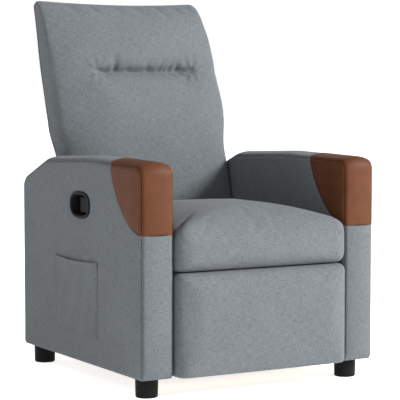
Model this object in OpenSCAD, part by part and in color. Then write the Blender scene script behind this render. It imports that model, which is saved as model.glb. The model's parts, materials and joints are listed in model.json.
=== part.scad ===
// Manual recliner armchair: a fixed base with padded arms, a swinging seat,
// a reclining back and a linkage-driven footrest, released by a lever in the arm.
// The front faces -Y, X runs across the seat and Z is up. All sizes in millimetres.

/* [Overall] */
// Width over both arms
chair_w = 680; // [600:2:820]
// Depth of an arm, front to rear
arm_depth = 700; // [690:5:850]
// Height of an arm's side panel above the floor
arm_h = 585; // [560:5:640]
// Thickness of an arm
arm_t = 85; // [75:1:110]
// Height of the seat cushion's crown above the floor
seat_h = 476; // [465:1:520]
// Length of the back, measured from its hinge
back_len = 665; // [580:5:740]
// Lean of the back from upright when closed
back_lean = 18; // [12:1:22]
// Angle that the back reclines through
recline = 35; // [20:1:38]
// Angle that the footrest turns through
footrest_turn = 85; // [60:1:88]

/* [Feet] */
// Height of a foot
foot_h = 50; // [35:1:70]
// Diameter of a foot
foot_d = 58; // [40:1:60]
// Distance of the front feet behind the arm's front
foot_front = 62; // [50:1:90]
// Distance of the rear feet from the arm's rear
foot_rear = 36; // [32:1:90]

/* [Arms] */
// Foam and cover over the arm's side panels
pad_t = 10; // [6:1:14]
// Plywood of an arm panel
panel_t = 9; // [6:1:15]
// Height of the leather cap's lower seam
leather_z = 405; // [380:5:450]
// Reach of the leather cap along the arm's top
leather_reach = 168; // [120:2:220]
// Thickness of the leather cap
leather_t = 2.5; // [2:0.5:4]
// Drop of the arm's sloped rear corner
chamfer_drop = 77; // [40:1:110]
// Length of the arm's sloped rear corner
chamfer_run = 150; // [80:1:200]

/* [Side pocket] */
// Width of the pocket
pocket_w = 250; // [160:5:270]
// Depth of the pocket, mouth to hem
pocket_h = 197; // [140:1:230]
// Height of the pocket's lower hem
pocket_z = 122; // [90:1:160]
// Distance of the pocket behind the arm's front
pocket_y = 235; // [200:5:320]
// Room inside the pocket
pocket_gap = 5; // [4.5:0.5:12]
// Cloth of the pocket
pocket_t = 1.5; // [1.5:0.5:3]

/* [Release handle] */
// Length of the handle's oval rim
cup_w = 116; // [104:1:140]
// Height of the handle's oval rim
cup_h = 71; // [66:1:85]
// Depth of the finger cup
cup_depth = 30; // [26:1:34]
// Distance of the cup's centre behind the arm's front
cup_y = 339; // [300:1:400]
// Height of the cup's centre
cup_z = 460; // [430:1:480]
// Angle that the lever is pulled through
lever_turn = 28; // [15:1:30]

/* [Seat] */
// Gap between the cushions and each arm
cushion_gap = 5; // [4:1:8]
// Distance that the seat's front roll stands before the arms
roll_front = 25; // [10:1:40]
// Height of the roll's underside
roll_z = 312; // [300:1:330]
// Drop of the seat's crown at its sides
crown_drop = 40; // [20:1:60]
// Radius of the cushions' upright front corners
cushion_corner = 32; // [10:1:38]
// Height of the seat rails
seat_rail_h = 75; // [60:1:80]
// Top of the seat rails above the floor
seat_rail_top = 375; // [370:1:385]
// Thickness of the seat rails
rail_t = 22; // [18:1:24]

/* [Back] */
// Depth of the back cushion before the hinge line
back_front = 78; // [60:1:90]
// Amount that the back cushion swells forward at the small of the back
lumbar = 8; // [0:1:14]
// Depth of the back behind the hinge line
back_rear = 33; // [28:1:45]
// Amount that the back narrows towards its top, each side
back_taper = 2; // [0:1:20]

/* [Footrest] */
// Thickness of the footrest cushion and board
footrest_t = 73; // [60:1:80]
// Plywood of the footrest
board_t = 15; // [12:1:18]

/* [Mechanism] */
// Steel of the links and plates
steel_t = 3; // [2.5:0.5:3]
// Width of a link
link_w = 22; // [18:1:24]
// Radius of a rivet
rivet_r = 4; // [3:0.2:5]
// Length of the footrest's long links beyond the cross link
link_tail = 60; // [45:1:60]
// Length of the seat's swing links
swing_len = 110; // [95:1:115]
// Angle that the swing links lean back when closed
swing_lean = 18; // [10:1:22]
// Angle that the swing links turn through
swing_turn = 40; // [20:1:42]
// Wire of the seat and back springs
wire_d = 3.6; // [3:0.1:4]

/* [Hidden] */

run_gap = 0.05;   // radial clearance of a rivet in its hole
side_gap = 2;     // gap between two moving plates
fit_gap = 0.5;    // gap round a fixed piece in its opening
arc_steps = 5;    // segments of a rounded corner
hole_fn = 32;

cloth = "slategray";
cloth_light = "lightslategray";
leather = "sienna";
ply = "burlywood";
steel = "silver";
black = "#1c1c1c";

half_w = chair_w / 2;
arm_in = half_w - arm_t;                  // inner face of an arm
half_seat = arm_in - cushion_gap;         // half the width of the cushions
arm_mid = half_w - arm_t / 2;

// Stations of the mechanism's plates, measured outwards from the middle of the chair.
// They are stacked inwards from the arm, with one plate and one gap for each layer.
pitch = steel_t + side_gap;
bracket_x = arm_in - 14;                  // inner face of the footrest bracket
cross_x = bracket_x - pitch;              // cross links and outer links
long_x = cross_x - pitch;                 // long links, rear links and back brackets
plate_x = long_x - pitch;                 // seat plates
swing_x = plate_x - pitch - 2;            // swing links and the cam
base_x = swing_x - pitch;                 // base plates
base_rail_t = 18;
head_t = 1.4;                             // height of a rivet's head
head_r = rivet_r + 3;

// Pivots in the side view, as [distance behind the arm's front, height].
footrest_low = foot_h;
footrest_gap = 4;                         // gap between the roll and the footrest
footrest_high = roll_z - footrest_gap;
footrest_front = -roll_front - 3;
footrest_back = footrest_front + footrest_t;
roll_back = footrest_back + 5;            // the roll ends at the front rail
turn_centre = [-19, seat_rail_top + 44];  // the footrest turns about this point
front_pivot = [130, seat_rail_top - 40];
pad_pivot = [footrest_back + 30, footrest_high - 54];
cross_vec = turn_centre - front_pivot;    // along a cross link, from the long link to the pad
long_vec = pad_pivot - turn_centre;       // along a long link, from its pivot to the cross link
long_dir = long_vec / norm(long_vec);
cross_dir = cross_vec / norm(cross_vec);
rear_step = 90;                           // spacing of the rear link behind the long link
knee = front_pivot + long_vec;            // long link to cross link
tail_pivot = knee + long_dir * link_tail; // long link to outer link
rear_pivot = front_pivot - cross_dir * rear_step;
rear_knee = knee - cross_dir * rear_step;
pad_pivot_low = pad_pivot + long_dir * link_tail;
tube_at = front_pivot + long_vec / 2;     // torque tube between the long links
tube_r = 8;

hinge = [arm_depth - 100, seat_rail_top + 10]; // back hinge
swing_z = 250;                            // seat end of the swing links
swing_top_front = [hinge[0] - 216, swing_z];
swing_top_rear = [hinge[0] - 86, swing_z];
swing_vec = swing_len * [-sin(swing_lean), -cos(swing_lean)];
swing_low_front = swing_top_front + swing_vec;
swing_low_rear = swing_top_rear + swing_vec;

cam_nose = rear_knee + [16.2, 24.2];      // stands just behind the rear link's lower end
cam_pivot = cam_nose + [17, -55];
cam_tail = cam_pivot + [42, -4];
nose_r = 4;

rear_rail_t = 18;
rear_pad_t = 10;
rear_rail_y = arm_depth - rear_pad_t - rear_rail_t - 2;
rear_panel_z = 330;
stretcher_y = 100;
stretcher_d = 80;
stretcher_t = 16;
base_rail_h = 40;

seat_front = roll_back;
seat_rear = hinge[0] - 80;
seat_rail_z = seat_rail_top - seat_rail_h;
spring_z = seat_rail_top - wire_d / 2 - 1.4;
cross_rail_top = spring_z - wire_d / 2;

// The back in its own frame: y from the hinge to the rear, z along the back.
back_corner = 16;                         // radius at the back's top rear edge
back_side_corner = 18;                    // radius of its top corners, seen from the front
shell_from = -16;                         // the shell and the cushion meet here
// The top is level while the back is closed, so it falls towards the front
back_top_front = back_len - (back_rear - shell_from) * tan(back_lean);
stile_t = 28;
stile_x = plate_x - head_t - 0.8;         // outer face of the stiles
stile_front = -10;
stile_rear = 15;
stile_low = -20;
stile_top = back_top_front - 24;

// Extremes of the chair, which centre it on the origin
rear_most = hinge[0] + (back_rear - back_corner) * cos(back_lean)
  + (back_len - back_corner * (tan(back_lean) + 1 / cos(back_lean))) * sin(back_lean) + back_corner;
front_most = footrest_front;
centre_y = (rear_most + front_most) / 2;

// ---------- helpers ----------

function unit(v) = v / norm(v);
function turned(v, a) = [v[0] * cos(a) - v[1] * sin(a), v[0] * sin(a) + v[1] * cos(a)];

// The corner at p between its neighbours a and b, rounded to radius r
function corner(a, p, b, r) = r <= 0 ? [p] :
  let (
    u = unit(a - p),
    v = unit(b - p),
    half = acos(u * v) / 2,
    c = p + unit(u + v) * r / sin(half),
    s = p + u * r / tan(half) - c,
    e = p + v * r / tan(half) - c,
    sweep = (180 - 2 * half) * sign(s[0] * e[1] - s[1] * e[0])
  ) [for (i = [0:arc_steps]) c + turned(s, sweep * i / arc_steps)];

// A polygon from [x, y, radius] corners
function rounded(pts) = [
  for (i = [0:len(pts) - 1])
    let (
      n = len(pts),
      a = pts[(i + n - 1) % n],
      p = pts[i],
      b = pts[(i + 1) % n]
    ) each corner([a[0], a[1]], [p[0], p[1]], [b[0], b[1]], p[2])
];

function rectangle(x0, y0, x1, y1, r) = [[x0, y0, r], [x1, y0, r], [x1, y1, r], [x0, y1, r]];

// A bar with round ends, from p to q
function bar(p, q, r) =
  let (a = atan2(q[1] - p[1], q[0] - p[0]))
  concat(
    [for (i = [0:8]) q + r * [cos(a - 90 + i * 22.5), sin(a - 90 + i * 22.5)]],
    [for (i = [0:8]) p + r * [cos(a + 90 + i * 22.5), sin(a + 90 + i * 22.5)]]
  );

// Draws in the chair's side view, extruded across from x0 to x1
module across(x0, x1) {
  translate([x0, 0, 0]) rotate([90, 0, 90]) linear_extrude(x1 - x0) children();
}

// Draws in the chair's front view, extruded back from y0 to y1
module deep(y0, y1) {
  translate([0, y1, 0]) rotate([90, 0, 0]) linear_extrude(y1 - y0) children();
}

module rod(p, r, x0, x1) {
  translate([x0, p[0], p[1]]) rotate([0, 90, 0]) cylinder(r = r, h = x1 - x0, $fn = hole_fn);
}

// Both sides of the chair
module pair() {
  children();
  mirror([1, 0, 0]) children();
}

// The left half is drawn at +X; the right half is its mirror image
module hand(side) {
  if (side == "left") children();
  else mirror([1, 0, 0]) children();
}

// Every node is drawn from the arm's front and moved to the chair's middle
module placed() {
  translate([0, -centre_y, 0]) children();
}

// The back's own frame, at its hinge
module on_back() {
  translate([0, hinge[0], hinge[1]]) rotate([-back_lean, 0, 0]) children();
}

module box(low, high) {
  translate(low) cube(high - low);
}

// A rivet that joins plates from x0 to x1, with a head outside each
module rivet(p, x0, x1) {
  rod(p, rivet_r, x0 - head_t, x1 + head_t);
  rod(p, head_r, x0 - head_t, x0 - 0.1);
  rod(p, head_r, x1 + 0.1, x1 + head_t);
}

module rivet_hole(p) {
  rod(p, rivet_r + run_gap, 0, half_w);
}

bolt_r = 3;
bolt_head_t = 3;

// A hexagon-headed bolt along X, with its head outside x1
module bolt(p, x0, x1) {
  rod(p, bolt_r, x0, x1);
  translate([x1, p[0], p[1]]) rotate([0, 90, 0]) cylinder(r = bolt_r * 1.9, h = bolt_head_t, $fn = 6);
}

module bolt_hole(p, x0, x1) {
  rod(p, bolt_r + run_gap, x0, x1);
}

// A round wire swept along a path, each ring square to the path
function tangent(path, i) = unit(path[min(i + 1, len(path) - 1)] - path[max(i - 1, 0)]);

module swept(path, r, sides, up) {
  n = len(path);
  rings = [
    for (i = [0:n - 1])
      let (t = tangent(path, i), s = unit(cross(t, up)), u = cross(s, t))
      for (k = [0:sides - 1]) path[i] + r * (s * cos(360 * k / sides) + u * sin(360 * k / sides))
  ];
  walls = [
    for (i = [0:n - 2], k = [0:sides - 1])
      let (a = i * sides + k, b = i * sides + (k + 1) % sides)
      each [[a, b, b + sides], [a, b + sides, a + sides]]
  ];
  polyhedron(
    rings,
    concat(walls, [[for (k = [sides - 1:-1:0]) k]], [[for (k = [0:sides - 1]) (n - 1) * sides + k]]),
    convexity = 6
  );
}

// A serpentine spring that runs along +Y from the origin, in the XY plane
module serpentine(length, turns, width) {
  bend = length / turns / 2;
  reach = width / 2 - bend;
  bends = [
    for (i = [0:turns - 1], k = [0:5])
      let (a = -75 + 30 * k, f = i % 2 == 0 ? 1 : -1)
      [f * (reach + bend * cos(a)), bend * (2 * i + 1 + sin(a)), 0]
  ];
  path = concat([[-reach, 0, 0]], bends, [[(turns % 2 == 0 ? 1 : -1) * reach, length, 0]]);
  swept(path, wire_d / 2, 6, [0, 0, 1]);
}

// ---------- arms ----------

// Side view of an arm, drawn in by d at the front, top and rear
function arm_side(d) = [
  [d, foot_h, 6],
  [arm_depth - d, foot_h, 6],
  [arm_depth - d, arm_h - chamfer_drop - d * 0.6, 38],
  [arm_depth - chamfer_run - d * 0.5, arm_h - 14 - d, 60],
  [290, arm_h + 3 - d, 300],
  [d, arm_h - 3 - d, 14]
];

// Side view of the leather cap: a curve from the arm's top down to its front
function leather_side() =
  let (
    p0 = [leather_reach, arm_h + 20],
    p1 = [leather_reach - 4, arm_h - 28],
    p2 = [leather_reach - 62, leather_z + 6],
    p3 = [-5, leather_z]
  ) concat(
    [[-5, arm_h + 20]],
    [[-5, leather_z]],
    [
      for (i = [1:10])
        let (t = 1 - i / 10)
        pow(1 - t, 3) * p0 + 3 * pow(1 - t, 2) * t * p1 + 3 * (1 - t) * t * t * p2 + t * t * t * p3
    ]
  );

frame_x0 = arm_in + pad_t;                // the arm's frame, between its pads
frame_x1 = half_w - pad_t;
frame_inset = 14;

module arm_body(d) {
  across(arm_in + d, half_w - d) polygon(rounded(arm_side(d)));
}

module arm_cavity() {
  across(frame_x0, frame_x1) polygon(rounded(arm_cavity_side()));
}

function arm_cavity_side() =
  let (p = arm_side(frame_inset))
  [for (i = [0:len(p) - 1]) i < 2 ? [p[i][0], foot_h - 1, 0] : [p[i][0], p[i][1], max(0, p[i][2] - frame_inset)]];

function arm_frame_side(d) =
  let (p = arm_side(frame_inset + d))
  [for (i = [0:len(p) - 1]) i < 2 ? [p[i][0], foot_h + d, 0] : [p[i][0], p[i][1], max(0, p[i][2] - frame_inset)]];

// The finger cup sits in the right arm only, so that arm has its openings
module cup_opening(gap) {
  across(half_w - cup_depth - gap, half_w + 1) polygon(rounded(cup_outline(-6 + gap)));
}

module cable_opening() {
  rod([cable_y, cable_exit_z], cable_r + 3, arm_in - 1, frame_x0 + panel_t + 1);
}

post_w = 45;                              // posts and rails inside an arm

module arm_frame(side) {
  color(ply) hand(side) difference() {
    across(frame_x0, frame_x1) polygon(rounded(arm_frame_side(0)));
    across(frame_x0 + panel_t, frame_x1 - panel_t) offset_frame();
    for (y = [foot_front, arm_depth - foot_rear])
      translate([arm_mid, y, foot_h - 1]) cylinder(r = foot_bolt_r + run_gap, h = 33, $fn = hole_fn);
    for (p = arm_bolt_points)
      bolt_hole(p, frame_x0 - 1, frame_x0 + 26);
    if (side == "right") {
      cup_opening(fit_gap);
      cable_opening();
    }
  }
}

// The hollow between the posts and rails of an arm
module offset_frame() {
  polygon([
    [frame_inset + post_w, foot_h + post_w],
    [arm_depth - frame_inset - post_w, foot_h + post_w],
    [arm_depth - frame_inset - post_w, arm_h - chamfer_drop - post_w - 10],
    [arm_depth - chamfer_run - 30, arm_h - frame_inset - post_w - 14],
    [frame_inset + post_w, arm_h - frame_inset - post_w]
  ]);
}

module arm_cover(side) {
  color(cloth) hand(side) difference() {
    arm_body(0);
    arm_cavity();
    leather_shell();
    for (p = arm_bolt_points)
      bolt_hole(p, arm_in - 1, frame_x0 + 1);
    if (side == "right") {
      cup_opening(fit_gap);
      cable_opening();
    }
  }
}

module leather_shell() {
  intersection() {
    difference() {
      arm_body(0);
      translate([0, leather_t, -leather_t]) arm_core();
    }
    across(arm_in - 1, half_w + 1) polygon(leather_side());
  }
}

module arm_core() {
  across(arm_in + leather_t, half_w - leather_t) polygon(rounded(arm_side(0)));
}

module arm_leather(side) {
  color(leather) hand(side) leather_shell();
}

// The pocket is a shallow pouch, open at its mouth
module side_pocket() {
  color(cloth_light) hand("right") difference() {
    box([half_w, pocket_y, pocket_z], [half_w + pocket_gap + pocket_t, pocket_y + pocket_w, pocket_z + pocket_h]);
    box(
      [half_w - 1, pocket_y + 2 * pocket_t, pocket_z + 2 * pocket_t],
      [half_w + pocket_gap, pocket_y + pocket_w - 2 * pocket_t, pocket_z + pocket_h + 1]
    );
  }
}

// ---------- feet and base ----------

foot_bolt_r = 4;

module foot(side, y) {
  color(black) hand(side) translate([arm_mid, y, 0]) rotate_extrude($fn = 48)
    polygon(concat(
      [[foot_bolt_r + run_gap, foot_h], [foot_bolt_r + run_gap, 12], [0, 12], [0, 0]],
      [for (i = [0:4]) [foot_d / 2 - 5 + 4 * sin(i * 22.5), 4 - 4 * cos(i * 22.5)]],
      [[foot_d / 2, foot_h - 2], [foot_d / 2 - 1, foot_h]]
    ));
}

module foot_bolts() {
  color(steel) pair() for (y = [foot_front, arm_depth - foot_rear])
    translate([arm_mid, y, 12.5]) cylinder(r = foot_bolt_r, h = foot_h + 18, $fn = hole_fn);
}

// Bolts that hold the arms to the stretcher and the rear rail, as [y, z]
arm_bolt_points = [
  [stretcher_y + 22, foot_h + stretcher_t / 2],
  [stretcher_y + 58, foot_h + stretcher_t / 2],
  [rear_rail_y + rear_rail_t / 2, foot_h + 60],
  [rear_rail_y + rear_rail_t / 2, rear_panel_z - 60]
];

module front_stretcher() {
  color(ply) difference() {
    box([-arm_in, stretcher_y, foot_h], [arm_in, stretcher_y + stretcher_d, foot_h + stretcher_t]);
    pair() for (i = [0, 1])
      bolt_hole(arm_bolt_points[i], arm_in - 40, arm_in + 1);
  }
}

module rear_rail() {
  color(ply) difference() {
    box([-arm_in, rear_rail_y, foot_h], [arm_in, rear_rail_y + rear_rail_t, rear_panel_z - 4]);
    pair() for (i = [2, 3])
      bolt_hole(arm_bolt_points[i], arm_in - 40, arm_in + 1);
  }
}

// The padded panel that closes the base behind, wrapped over the rail's top
module rear_panel() {
  color(cloth) union() {
    box([-arm_in, rear_rail_y + rear_rail_t, foot_h], [arm_in, rear_rail_y + rear_rail_t + rear_pad_t, rear_panel_z]);
    box([-arm_in, rear_rail_y - 1, rear_panel_z - 4], [arm_in, rear_rail_y + rear_rail_t + 1, rear_panel_z]);
  }
}

module base_rails() {
  color(ply) pair() difference() {
    box(
      [base_x - base_rail_t, stretcher_y, foot_h + stretcher_t],
      [base_x, rear_rail_y, foot_h + stretcher_t + base_rail_h]
    );
    for (p = base_bolt_points)
      bolt_hole(p, base_x - base_rail_t - 1, base_x + 1);
    rod(cam_pivot, head_r + 1, base_x - 4, base_x + 1);
  }
}

base_bolt_points = [
  [swing_low_front[0] - 2, foot_h + stretcher_t + 16],
  [swing_low_rear[0] - 40, foot_h + stretcher_t + 16],
  [swing_low_rear[0] + 22, foot_h + stretcher_t + 16]
];

module base_plate(side) {
  color(steel) hand(side) difference() {
    across(base_x, base_x + steel_t) polygon(rounded([
      [cam_pivot[0] - 18, foot_h + stretcher_t + 4, 6],
      [swing_low_rear[0] + 40, foot_h + stretcher_t + 4, 6],
      [swing_low_rear[0] + 24, swing_low_rear[1] + 14, 16],
      [swing_low_front[0] - 16, swing_low_front[1] + 14, 16],
      [cam_pivot[0] - 18, cam_pivot[1] + 12, 8]
    ]));
    for (p = [swing_low_front, swing_low_rear]) rivet_hole(p);
    if (side == "right") rivet_hole(cam_pivot);
    for (p = base_bolt_points) bolt_hole(p, base_x - 1, base_x + steel_t + 1);
  }
  if (side == "right") color(steel) hand(side) cable_stop();
}

// A tab on the base plate that holds the end of the cable's sheath
module cable_stop() {
  difference() {
    box(
      [base_x + steel_t - 0.5, cable_y - 5, cable_end_z],
      [cable_stop_x + 5, cable_y + 5, cable_end_z + 8]
    );
    translate([cable_stop_x, cable_y, cable_end_z - 1])
      cylinder(r = cable_r + fit_gap, h = 10, $fn = hole_fn);
  }
}

// Bolts through the base plates and into the arms, and the rivets of the swing links and cam
module base_fasteners() {
  color(steel) {
    pair() {
      for (p = base_bolt_points) {
        rod(p, bolt_r, base_x - base_rail_t, base_x + steel_t);
        translate([base_x - base_rail_t - bolt_head_t, p[0], p[1]]) rotate([0, 90, 0])
          cylinder(r = bolt_r * 1.9, h = bolt_head_t, $fn = 6);
      }
      for (p = arm_bolt_points)
        rod(p, bolt_r, arm_in - 38, frame_x0 + 24);
      for (p = [swing_low_front, swing_low_rear]) rivet(p, base_x, swing_x + steel_t);
    }
    hand("right") rivet(cam_pivot, base_x, swing_x + steel_t);
  }
}

// ---------- release handle ----------

lever_y = cup_y - cup_w / 2 + 22;         // lever pin
paddle = cup_w - 66;                      // reach of the lever's paddle
lever_x = half_w - 10;
lever_pin_r = 2.5;
barrel_r = 5.5;
barrel_half = 15;                         // half the barrel's length
wall = 3;
crank_out = 28;                           // reach of the crank beyond the pin
cable_r = 2.5;

// The oval of the handle, grown by d
function cup_outline(d) =
  rectangle(cup_y - cup_w / 2 - d, cup_z - cup_h / 2 - d, cup_y + cup_w / 2 + d, cup_z + cup_h / 2 + d, 30 + d);

module handle_cup() {
  color(black) hand("right") difference() {
    union() {
      across(half_w + 0.2, half_w + 3) polygon(rounded(cup_outline(0)));
      across(half_w - cup_depth, half_w + 0.3) polygon(rounded(cup_outline(-6)));
    }
    across(half_w - cup_depth + wall, half_w + 4) polygon(rounded(cup_outline(-6 - wall)));
    box(
      [half_w - cup_depth - 1, lever_y - 7, cup_z - 8],
      [half_w - cup_depth + wall + 1, lever_y + 22, cup_z + 8]
    );
    translate([lever_x, lever_y, cup_z - 40]) cylinder(r = lever_pin_r + run_gap, h = 80, $fn = hole_fn);
  }
}

module lever_pin() {
  color(steel) hand("right") translate([lever_x, lever_y, cup_z - cup_h / 2 + 9])
    cylinder(r = lever_pin_r, h = cup_h - 18, $fn = hole_fn);
}

// A paddle on a barrel, with a crank behind that pulls the cable
module release_lever() {
  color(black) hand("right") difference() {
    union() {
      translate([lever_x, lever_y, cup_z - barrel_half]) cylinder(r = barrel_r, h = 2 * barrel_half, $fn = hole_fn);
      box([half_w - 8, lever_y, cup_z - barrel_half], [half_w - 4.6, lever_y + 14, cup_z + barrel_half]);
      box([half_w - 8, lever_y + 9, cup_z - 19], [half_w - 4.6, lever_y + paddle, cup_z + 19]);
      box([half_w - 15, lever_y + paddle - 4, cup_z - 19], [half_w - 4.6, lever_y + paddle, cup_z + 19]);
      box([lever_x - crank_out, lever_y - 3, cup_z - 5], [lever_x, lever_y + 3, cup_z + 5]);
    }
    translate([lever_x, lever_y, cup_z - 40]) cylinder(r = lever_pin_r + run_gap, h = 80, $fn = hole_fn);
  }
}

cable_x = lever_x - crank_out + 3;
cable_y = cam_tail[0];                    // the cable comes down onto the cam's tail
cable_exit_z = 160;                       // height where it leaves the arm
cable_end_z = cam_tail[1] + 21;
cable_stop_x = swing_x + steel_t + cable_r + 0.5;
wire_r = 0.8;                             // inner wire of the cable

// The cable's route: down inside the arm, then in to the cam
cable_route = [
  [cable_x, lever_y - 4, cup_z],
  [cable_x, lever_y - 36, cup_z],
  [cable_x, 247, cup_z - 9],
  [cable_x, 237, cup_z - 30],
  [cable_x, 235, cup_z - 60],
  [cable_x, 235, 280],
  [cable_x, 243, 236],
  [cable_x, 266, 202],
  [cable_x - 2, 305, 178],
  [cable_x - 8, 345, 165],
  [cable_x - 20, 366, cable_exit_z + 1],
  [frame_x0 + 12, cable_y, cable_exit_z],
  [arm_in - 12, cable_y, cable_exit_z],
  [cable_stop_x + 10, cable_y, cable_exit_z - 1],
  [cable_stop_x + 3, cable_y, cable_exit_z - 6],
  [cable_stop_x, cable_y, cable_exit_z - 15],
  [cable_stop_x, cable_y, cable_end_z]
];

module release_cable() {
  color(black) hand("right") {
    swept(cable_route, cable_r, 8, unit([0.6, 0.5, 0.6]));
    translate([cable_stop_x, cable_y, cam_tail[1]]) cylinder(r = wire_r, h = 25, $fn = 16);
  }
}

// The lever's return spring, wound on its pin above the barrel
spring_turns = 3;
spring_wire = 0.6;

module lever_spring() {
  steps = 14;
  path = [
    for (i = [0:spring_turns * steps])
      let (a = 360 * i / steps)
      [lever_x + 4 * cos(a), lever_y + 4 * sin(a), cup_z + barrel_half + 1 + i * 1.3 / steps]
  ];
  color(steel) hand("right") swept(path, spring_wire, 6, [0, 0, 1]);
}

// The cam's pin knocks the rear link off its rest when the lever is pulled
module release_cam() {
  color(steel) hand("right") difference() {
    union() {
      across(swing_x, swing_x + steel_t) {
        polygon(bar(cam_pivot, cam_nose, 8));
        polygon(bar(cam_pivot, cam_tail, 8));
      }
      rod(cam_nose, nose_r, swing_x + 0.5, long_x + steel_t);
    }
    rivet_hole(cam_pivot);
    rod(cam_tail, 2, swing_x - 1, swing_x + steel_t + 1);
  }
}

// ---------- seat ----------

module swing_links(top, low) {
  color(steel) pair() difference() {
    across(swing_x, swing_x + steel_t) polygon(bar(top, low, link_w / 2));
    rivet_hole(top);
    rivet_hole(low);
  }
}

rail_out = plate_x;                       // outer face of the seat's side rails

seat_bolt_points = [
  [100, seat_rail_top - 18],
  [260, seat_rail_top - 30],
  [430, seat_rail_top - 30]
];

module seat_side_rails() {
  color(ply) pair() difference() {
    box([rail_out - rail_t, seat_front, seat_rail_z], [rail_out, seat_rear, seat_rail_top]);
    for (p = seat_bolt_points) bolt_hole(p, rail_out - rail_t - 1, rail_out + 1);
    rod(front_pivot, head_r + 1, rail_out - 4, rail_out + 1);
  }
}

module seat_cross_rails() {
  inner = rail_out - rail_t;
  color(ply) for (y = [seat_front, seat_rear - rail_t])
    box([-inner, y, seat_rail_z], [inner, y + rail_t, cross_rail_top]);
}

spring_from = seat_front + 12;
spring_to = seat_rear - 12;

module seat_springs() {
  pitch_x = (rail_out - rail_t) * 2 / 4.6;
  color(steel) for (i = [-1.5:1:1.5])
    translate([i * pitch_x, spring_from, spring_z]) serpentine(spring_to - spring_from, 14, 52);
}

// A clip over each end of a spring
module seat_spring_clips() {
  pitch_x = (rail_out - rail_t) * 2 / 4.6;
  color(black) for (i = [-1.5:1:1.5], y = [spring_from, spring_to])
    difference() {
      box([i * pitch_x - 9, y - 6, cross_rail_top], [i * pitch_x + 9, y + 6, seat_rail_top]);
      box(
        [i * pitch_x - 10, y - wire_d / 2 - 0.8, cross_rail_top - 1],
        [i * pitch_x + 10, y + wire_d / 2 + 0.8, spring_z + wire_d / 2 + 0.3]
      );
    }
}

module seat_dust_cover() {
  color(black) box([-rail_out + 3, seat_front, seat_rail_z - 1.2], [rail_out - 3, seat_rear, seat_rail_z]);
}

module seat_plate(side) {
  color(steel) hand(side) difference() {
    across(plate_x, plate_x + steel_t) polygon(rounded([
      [front_pivot[0] - 42, front_pivot[1] + 14, 10],
      [front_pivot[0] - 14, front_pivot[1] - 14, 12],
      [rear_pivot[0] - 10, rear_pivot[1] - 17, 12],
      [swing_top_front[0] - 22, swing_z - 15, 14],
      [swing_top_rear[0] + 12, swing_z - 15, 14],
      [swing_top_rear[0] + 31, swing_z + 46, 30],
      [hinge[0] + 12, hinge[1] - 22, 20],
      [hinge[0] + 14, hinge[1] + 14, 14],
      [hinge[0] - 22, hinge[1] + 12, 14],
      [hinge[0] - 60, seat_rail_top - 20, 30],
      [seat_rear - 30, seat_rail_top - 10, 20],
      [front_pivot[0] - 42, seat_rail_top - 6, 10]
    ]));
    for (p = [front_pivot, rear_pivot, swing_top_front, swing_top_rear, hinge]) rivet_hole(p);
    for (p = seat_bolt_points) bolt_hole(p, plate_x - 1, plate_x + steel_t + 1);
  }
}

module seat_bolts() {
  color(steel) pair() for (p = seat_bolt_points) {
    rod(p, bolt_r, rail_out - rail_t, plate_x + steel_t);
    translate([rail_out - rail_t - bolt_head_t, p[0], p[1]]) rotate([0, 90, 0])
      cylinder(r = bolt_r * 1.9, h = bolt_head_t, $fn = 6);
  }
}

// Rivets that stay with the seat plates
module seat_rivets() {
  color(steel) pair() {
    for (p = [front_pivot, rear_pivot, hinge]) rivet(p, plate_x, long_x + steel_t);
    for (p = [swing_top_front, swing_top_rear]) rivet(p, swing_x, plate_x + steel_t);
  }
}

// Side view of the seat cushion
function cushion_side() = [
  [-roll_front, roll_z, 14],
  [roll_back, roll_z, 6],
  [roll_back, seat_rail_top, 0],
  [seat_rear - 4, seat_rail_top, 4],
  [cushion_rear(seat_h - 26), seat_h - 26, 30],
  [200, seat_h, 300],
  [-roll_front, seat_h - 6, 92]
];

// The cushion's rear follows the back's front face, with a gap between them
function cushion_rear(z) = hinge[0] - back_front * cos(back_lean)
  + (z - hinge[1] - back_front * sin(back_lean)) * tan(back_lean) - 5;

// Front view of the seat cushion, crowned across
function cushion_front() = [
  [-half_seat, roll_z - 1, 10],
  [half_seat, roll_z - 1, 10],
  [half_seat, seat_h - crown_drop, 60],
  [half_seat * 0.45, seat_h - 8, 120],
  [0, seat_h, 400],
  [-half_seat * 0.45, seat_h - 8, 120],
  [-half_seat, seat_h - crown_drop, 60]
];

// Top view of a cushion with rounded front corners, from its front to its rear
function cushion_top(front, rear) = [
  [-half_seat, rear, 0],
  [half_seat, rear, 0],
  [half_seat, front, cushion_corner],
  [-half_seat, front, cushion_corner]
];

module seat_cushion() {
  color(cloth_light) intersection() {
    across(-half_seat, half_seat) polygon(rounded(cushion_side()));
    deep(-roll_front - 10, seat_rear + 60) polygon(rounded(cushion_front()));
    linear_extrude(height = seat_h + 20) polygon(rounded(cushion_top(-roll_front, seat_rear + 60)));
  }
}

// ---------- back ----------

// The width of the back at a height in its own frame
function back_half(z) = half_seat - back_taper * max(0, z) / back_len;

function back_outline(d, low, high, r) = [
  [-back_half(low) + d, low, 12],
  [back_half(low) - d, low, 12],
  [back_half(high) - d, high, r],
  [-back_half(high) + d, high, r]
];

module back_cushion() {
  deepest = -back_front - lumbar;
  color(cloth_light) on_back() intersection() {
    across(-half_seat, half_seat) polygon(rounded([
      [-back_front + 14, 8, 26],
      [shell_from, 8, 0],
      [shell_from, back_top_front, 4],
      [-back_front + 34, back_top_front - 41, 60],
      [-back_front + 14, back_top_front - 109, 200],
      [-back_front, back_top_front - 209, 200],
      [deepest, 200, 200],
      [-back_front, 120, 60]
    ]));
    deep(deepest - 1, shell_from) polygon(rounded(back_outline(0, 8, back_len, back_side_corner)));
    linear_extrude(height = back_len) polygon(rounded(cushion_top(deepest, shell_from)));
  }
}

panel_low = -8;                           // the rear panel's lower edge
shell_wall = 5;                           // cloth and padding over the back's rear

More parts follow.
